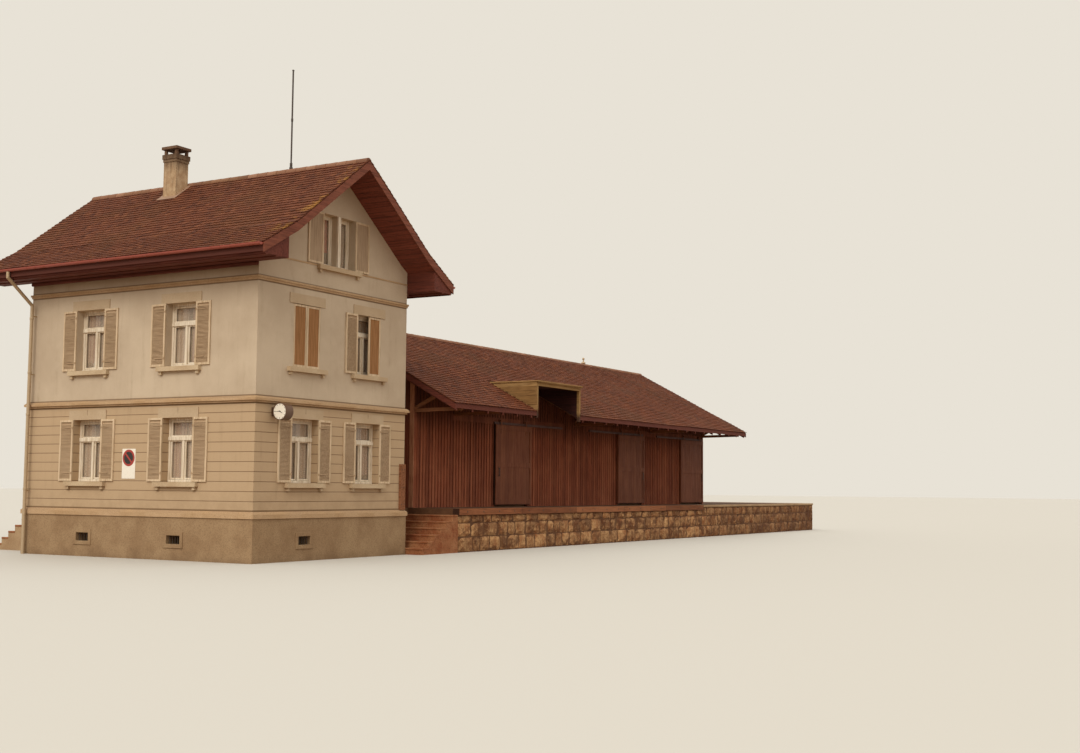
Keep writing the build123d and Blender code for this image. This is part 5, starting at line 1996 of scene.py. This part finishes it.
    def dormer(self) -> None:
        """Cheek boards, a rounded top lip and the cover of the loading dormer."""
        low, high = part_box("loading_dormer")
        pieces = []
        for x, side in ((low.x, -1), (high.x, 1)):
            faces = sorted((x, x + side * 0.012))
            for number in range(self.cheek_boards):
                foot = high.z - 0.16 - (number + 1) * 0.148
                back_y = self.ridge_y - (self.ridge_z + 0.05 - foot) / self.slope
                if back_y - (low.y + 0.1) < 0.08:
                    continue
                board = block("cheek", (faces[0], low.y + 0.06, foot), (faces[1], back_y, foot + 0.146))
                with reshaping(board) as places:
                    tail = (places[:, 1] > back_y - 0.01) & (places[:, 2] > foot + 0.1)
                    places[tail, 1] = self.ridge_y - (self.ridge_z + 0.05 - foot - 0.146) / self.slope
                pieces.append(dressed(bevel(board, 0.004), "dormer_cheeks"))
        lip = block("lip", (low.x - 0.03, low.y - 0.02, high.z - 0.03),
                    (high.x + 0.03, high.y - 0.05, high.z + 0.012), 0.01, 2)
        cover = block("cover", (low.x - 0.02, low.y + 0.05, high.z + 0.01),
                      (high.x + 0.02, high.y - 0.06, high.z + 0.018), 0.002)
        pieces += [dressed(lip, "dormer_boards"), dressed(cover, "eave_paint_and_shade")]
        settle("dormer_boards", pieces, "", Slot.DORMER)

    def dormer_shade_lining(self) -> None:
        """Thin dark boards on the inner faces of the loading dormer: painted shade inside its opening."""
        low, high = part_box("loading_dormer")
        front_y, back_y, top = low.y + 0.152, high.y - 0.01, high.z - 0.052
        linings = [block("ceiling", (low.x + 0.052, front_y, top - 0.006),
                         (high.x - 0.052, back_y, top), 0.001)]
        for x_from, x_to in ((low.x + 0.048, low.x + 0.056), (high.x - 0.056, high.x - 0.048)):
            lining = block("lining", (x_from, front_y, 0.0), (x_to, back_y, 1.0))
            with reshaping(lining) as places:
                upper = places[:, 2] > 0.5
                places[upper, 2] = top - 0.006
                places[~upper, 2] = [self.under(y) + 0.01 for y in places[~upper, 1]]
            linings.append(bevel(lining, 0.001))
        settle("dormer_shade_lining", linings, "dormer_shade_lining", Slot.DORMER)

    def leaves(self) -> None:
        """Stiles and a pull on each sliding leaf."""
        for name, body, side in (("goods_door_left", Body.LEFT_LEAF, 1),
                                 ("goods_door_middle", Body.MIDDLE_LEAF, -1),
                                 ("goods_door_right", Body.RIGHT_LEAF, -1)):
            low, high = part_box(name)
            face, foot, grip_z = low.y + 0.02, low.z, low.z + 1.05
            stiles = [block("stile", (x_from, low.y, z_from), (x_to, face + SKIN, z_to), 0.006, 2)
                      for x_from, x_to in ((low.x + 0.012, low.x + 0.13),
                                           (high.x - 0.13, high.x - 0.012))
                      for z_from, z_to in ((foot + 0.172, foot + 1.218), (foot + 1.372, foot + 2.418))]
            settle(name + "_stiles", stiles, "goods_door_boards", Slot.SHED_DOOR, body)
            x = (low.x + 0.19) if side > 0 else (high.x - 0.19)
            pull = [disc("grip", (x, face - 0.05, grip_z), 0.012, 0.26, Axis.Z, 14, 0.003)]
            pull += [disc("foot", (x, face - 0.024, grip_z + off), 0.011, 0.055, Axis.Y, 12, 0.003)
                     for off in (-0.12, 0.12)]
            settle(name + "_pull", pull, "dark_iron", Slot.DARK_METAL, body, smooth=35.0)

    def finial(self) -> None:
        """A turned finial on the ridge."""
        x, y, z = self.finial_x, self.ridge_y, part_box("shed_ridge_tiles")[1].z - 0.02
        stem = disc("stem", (x, y, z + 0.1), 0.028, 0.2, Axis.Z, 16)
        clear()
        bpy.ops.mesh.primitive_uv_sphere_add(segments=20, ring_count=12, radius=0.05,
                                             location=(x, y, z + 0.22))
        ball = named("ball")
        collar = disc("collar", (x, y, z + 0.05), 0.09, 0.07, Axis.Z, 20, 0.03, 2)
        settle("shed_finial", [stem, ball, collar], "stone_trim", Slot.STONE_TRIM, smooth=50.0)


# ---- light and view


def seen_ray(tree: bpy.types.NodeTree) -> NodeSocket:
    """1 for what the eye, a gloss or a pane shows, and 0 for the light that surfaces throw."""
    ray = tree.nodes.new("ShaderNodeLightPath")
    value = ray.outputs["Is Camera Ray"]
    for name in ("Is Glossy Ray", "Is Transmission Ray"):
        node = tree.nodes.new("ShaderNodeMath")
        node.operation = "MAXIMUM"
        tree.links.new(value, node.inputs[0])
        tree.links.new(ray.outputs[name], node.inputs[1])
        value = node.outputs[0]
    return value


@dataclass
class Studio:
    """The pale floor, the soft light and the camera at the photograph's place."""

    eye: Point = (-43.289, -27.136, 1.852)
    yaw: float = 30.41
    pitch: float = 4.68
    roll: float = 0.51
    lens: float = 45.517
    sensor: float = 36.0
    clip: Pair = (0.1, 900.0)
    floor_half: float = 400.0
    sun_strength: float = 1.6
    sun_angle: float = 30.0
    sun_colour: Point = (1.0, 0.97, 0.92)
    sun_ahead: Point = (0.85, 0.16, -0.70)
    sky_low: float = 0.8
    sky_high: float = 1.4
    sky_colour: tuple[float, ...] = (1.0, 0.985, 0.96, 1.0)
    backdrop: Shade = Shade("e8e2d6")
    floor_shade: Shade = Shade("beb8ac")
    floor_back: Shade = Shade("8c735a")

    def build(self) -> None:
        """Sets up the floor, the lights, the camera and the view."""
        self.floor()
        self.sun()
        self.sky()
        self.camera()
        bpy.context.scene.view_settings.view_transform = "Standard"

    def floor(self) -> None:
        """A plain pale floor that throws little light back at the undersides."""
        clear()
        bpy.ops.mesh.primitive_plane_add(size=self.floor_half * 2, location=(0, 0, 0))
        floor = named("studio_floor")
        bench = NodeBench("studio_floor", self.floor_back)
        bench.lay(Wire(bench, seen_ray(bench.tree)), self.floor_shade)
        floor.data.materials.append(bench.finish(0.95))

    def sun(self) -> None:
        """A wide soft sun from the left."""
        clear()
        bpy.ops.object.light_add(type="SUN", location=(-40, -30, 40))
        sun = bpy.context.object
        sun.name = "key_light"
        sun.data.energy = self.sun_strength
        sun.data.angle = math.radians(self.sun_angle)
        sun.data.color = self.sun_colour
        sun.rotation_mode = "QUATERNION"
        sun.rotation_quaternion = Vector(self.sun_ahead).to_track_quat("-Z", "Y")

    def sky(self) -> None:
        """A sky that is brighter overhead, and a plain backdrop for the eye."""
        world = bpy.data.worlds.new("soft_sky")
        bpy.context.scene.world = world
        world.use_nodes = True
        tree = world.node_tree
        tree.nodes.clear()
        add = tree.nodes.new
        split, height = add("ShaderNodeSeparateXYZ"), add("ShaderNodeMapRange")
        light, shown = add("ShaderNodeBackground"), add("ShaderNodeBackground")
        mix, out = add("ShaderNodeMixShader"), add("ShaderNodeOutputWorld")
        height.inputs["To Min"].default_value = self.sky_low
        height.inputs["To Max"].default_value = self.sky_high
        light.inputs["Color"].default_value = self.sky_colour
        shown.inputs["Color"].default_value = self.backdrop.linear
        for source, target in (
            (add("ShaderNodeTexCoord").outputs["Generated"], split.inputs[0]),
            (split.outputs[2], height.inputs["Value"]),
            (height.outputs["Result"], light.inputs["Strength"]),
            (seen_ray(tree), mix.inputs[0]), (light.outputs[0], mix.inputs[1]),
            (shown.outputs[0], mix.inputs[2]), (mix.outputs[0], out.inputs[0]),
        ):
            tree.links.new(source, target)

    def camera(self) -> None:
        """The camera where the photograph was taken from."""
        yaw, pitch, roll = (math.radians(turn) for turn in (self.yaw, self.pitch, self.roll))
        ahead = Vector((math.cos(pitch) * math.cos(yaw), math.cos(pitch) * math.sin(yaw),
                        math.sin(pitch)))
        right = Vector((math.sin(yaw), -math.cos(yaw), 0.0))
        up = right.cross(ahead)
        tipped_right = math.cos(roll) * right + math.sin(roll) * up
        tipped_up = -math.sin(roll) * right + math.cos(roll) * up
        clear()
        bpy.ops.object.camera_add(location=self.eye)
        camera = bpy.context.object
        camera.name = "view_camera"
        camera.data.lens = self.lens
        camera.data.sensor_fit = "HORIZONTAL"
        camera.data.sensor_width = self.sensor
        camera.data.clip_start, camera.data.clip_end = self.clip
        camera.matrix_world = placed(tipped_right, tipped_up, -ahead, self.eye)
        bpy.context.scene.camera = camera


def main() -> None:
    """Dresses the solids and builds the sub-assemblies in order."""
    logging.basicConfig(level=logging.INFO, format="%(message)s")
    plan = read_plan()
    mix_palette()
    for assembly in (HouseRoof, Windows, WallFittings, Dock, Shed):
        assembly(plan).build()
    Studio().build()


if __name__ == "__main__":
    main()
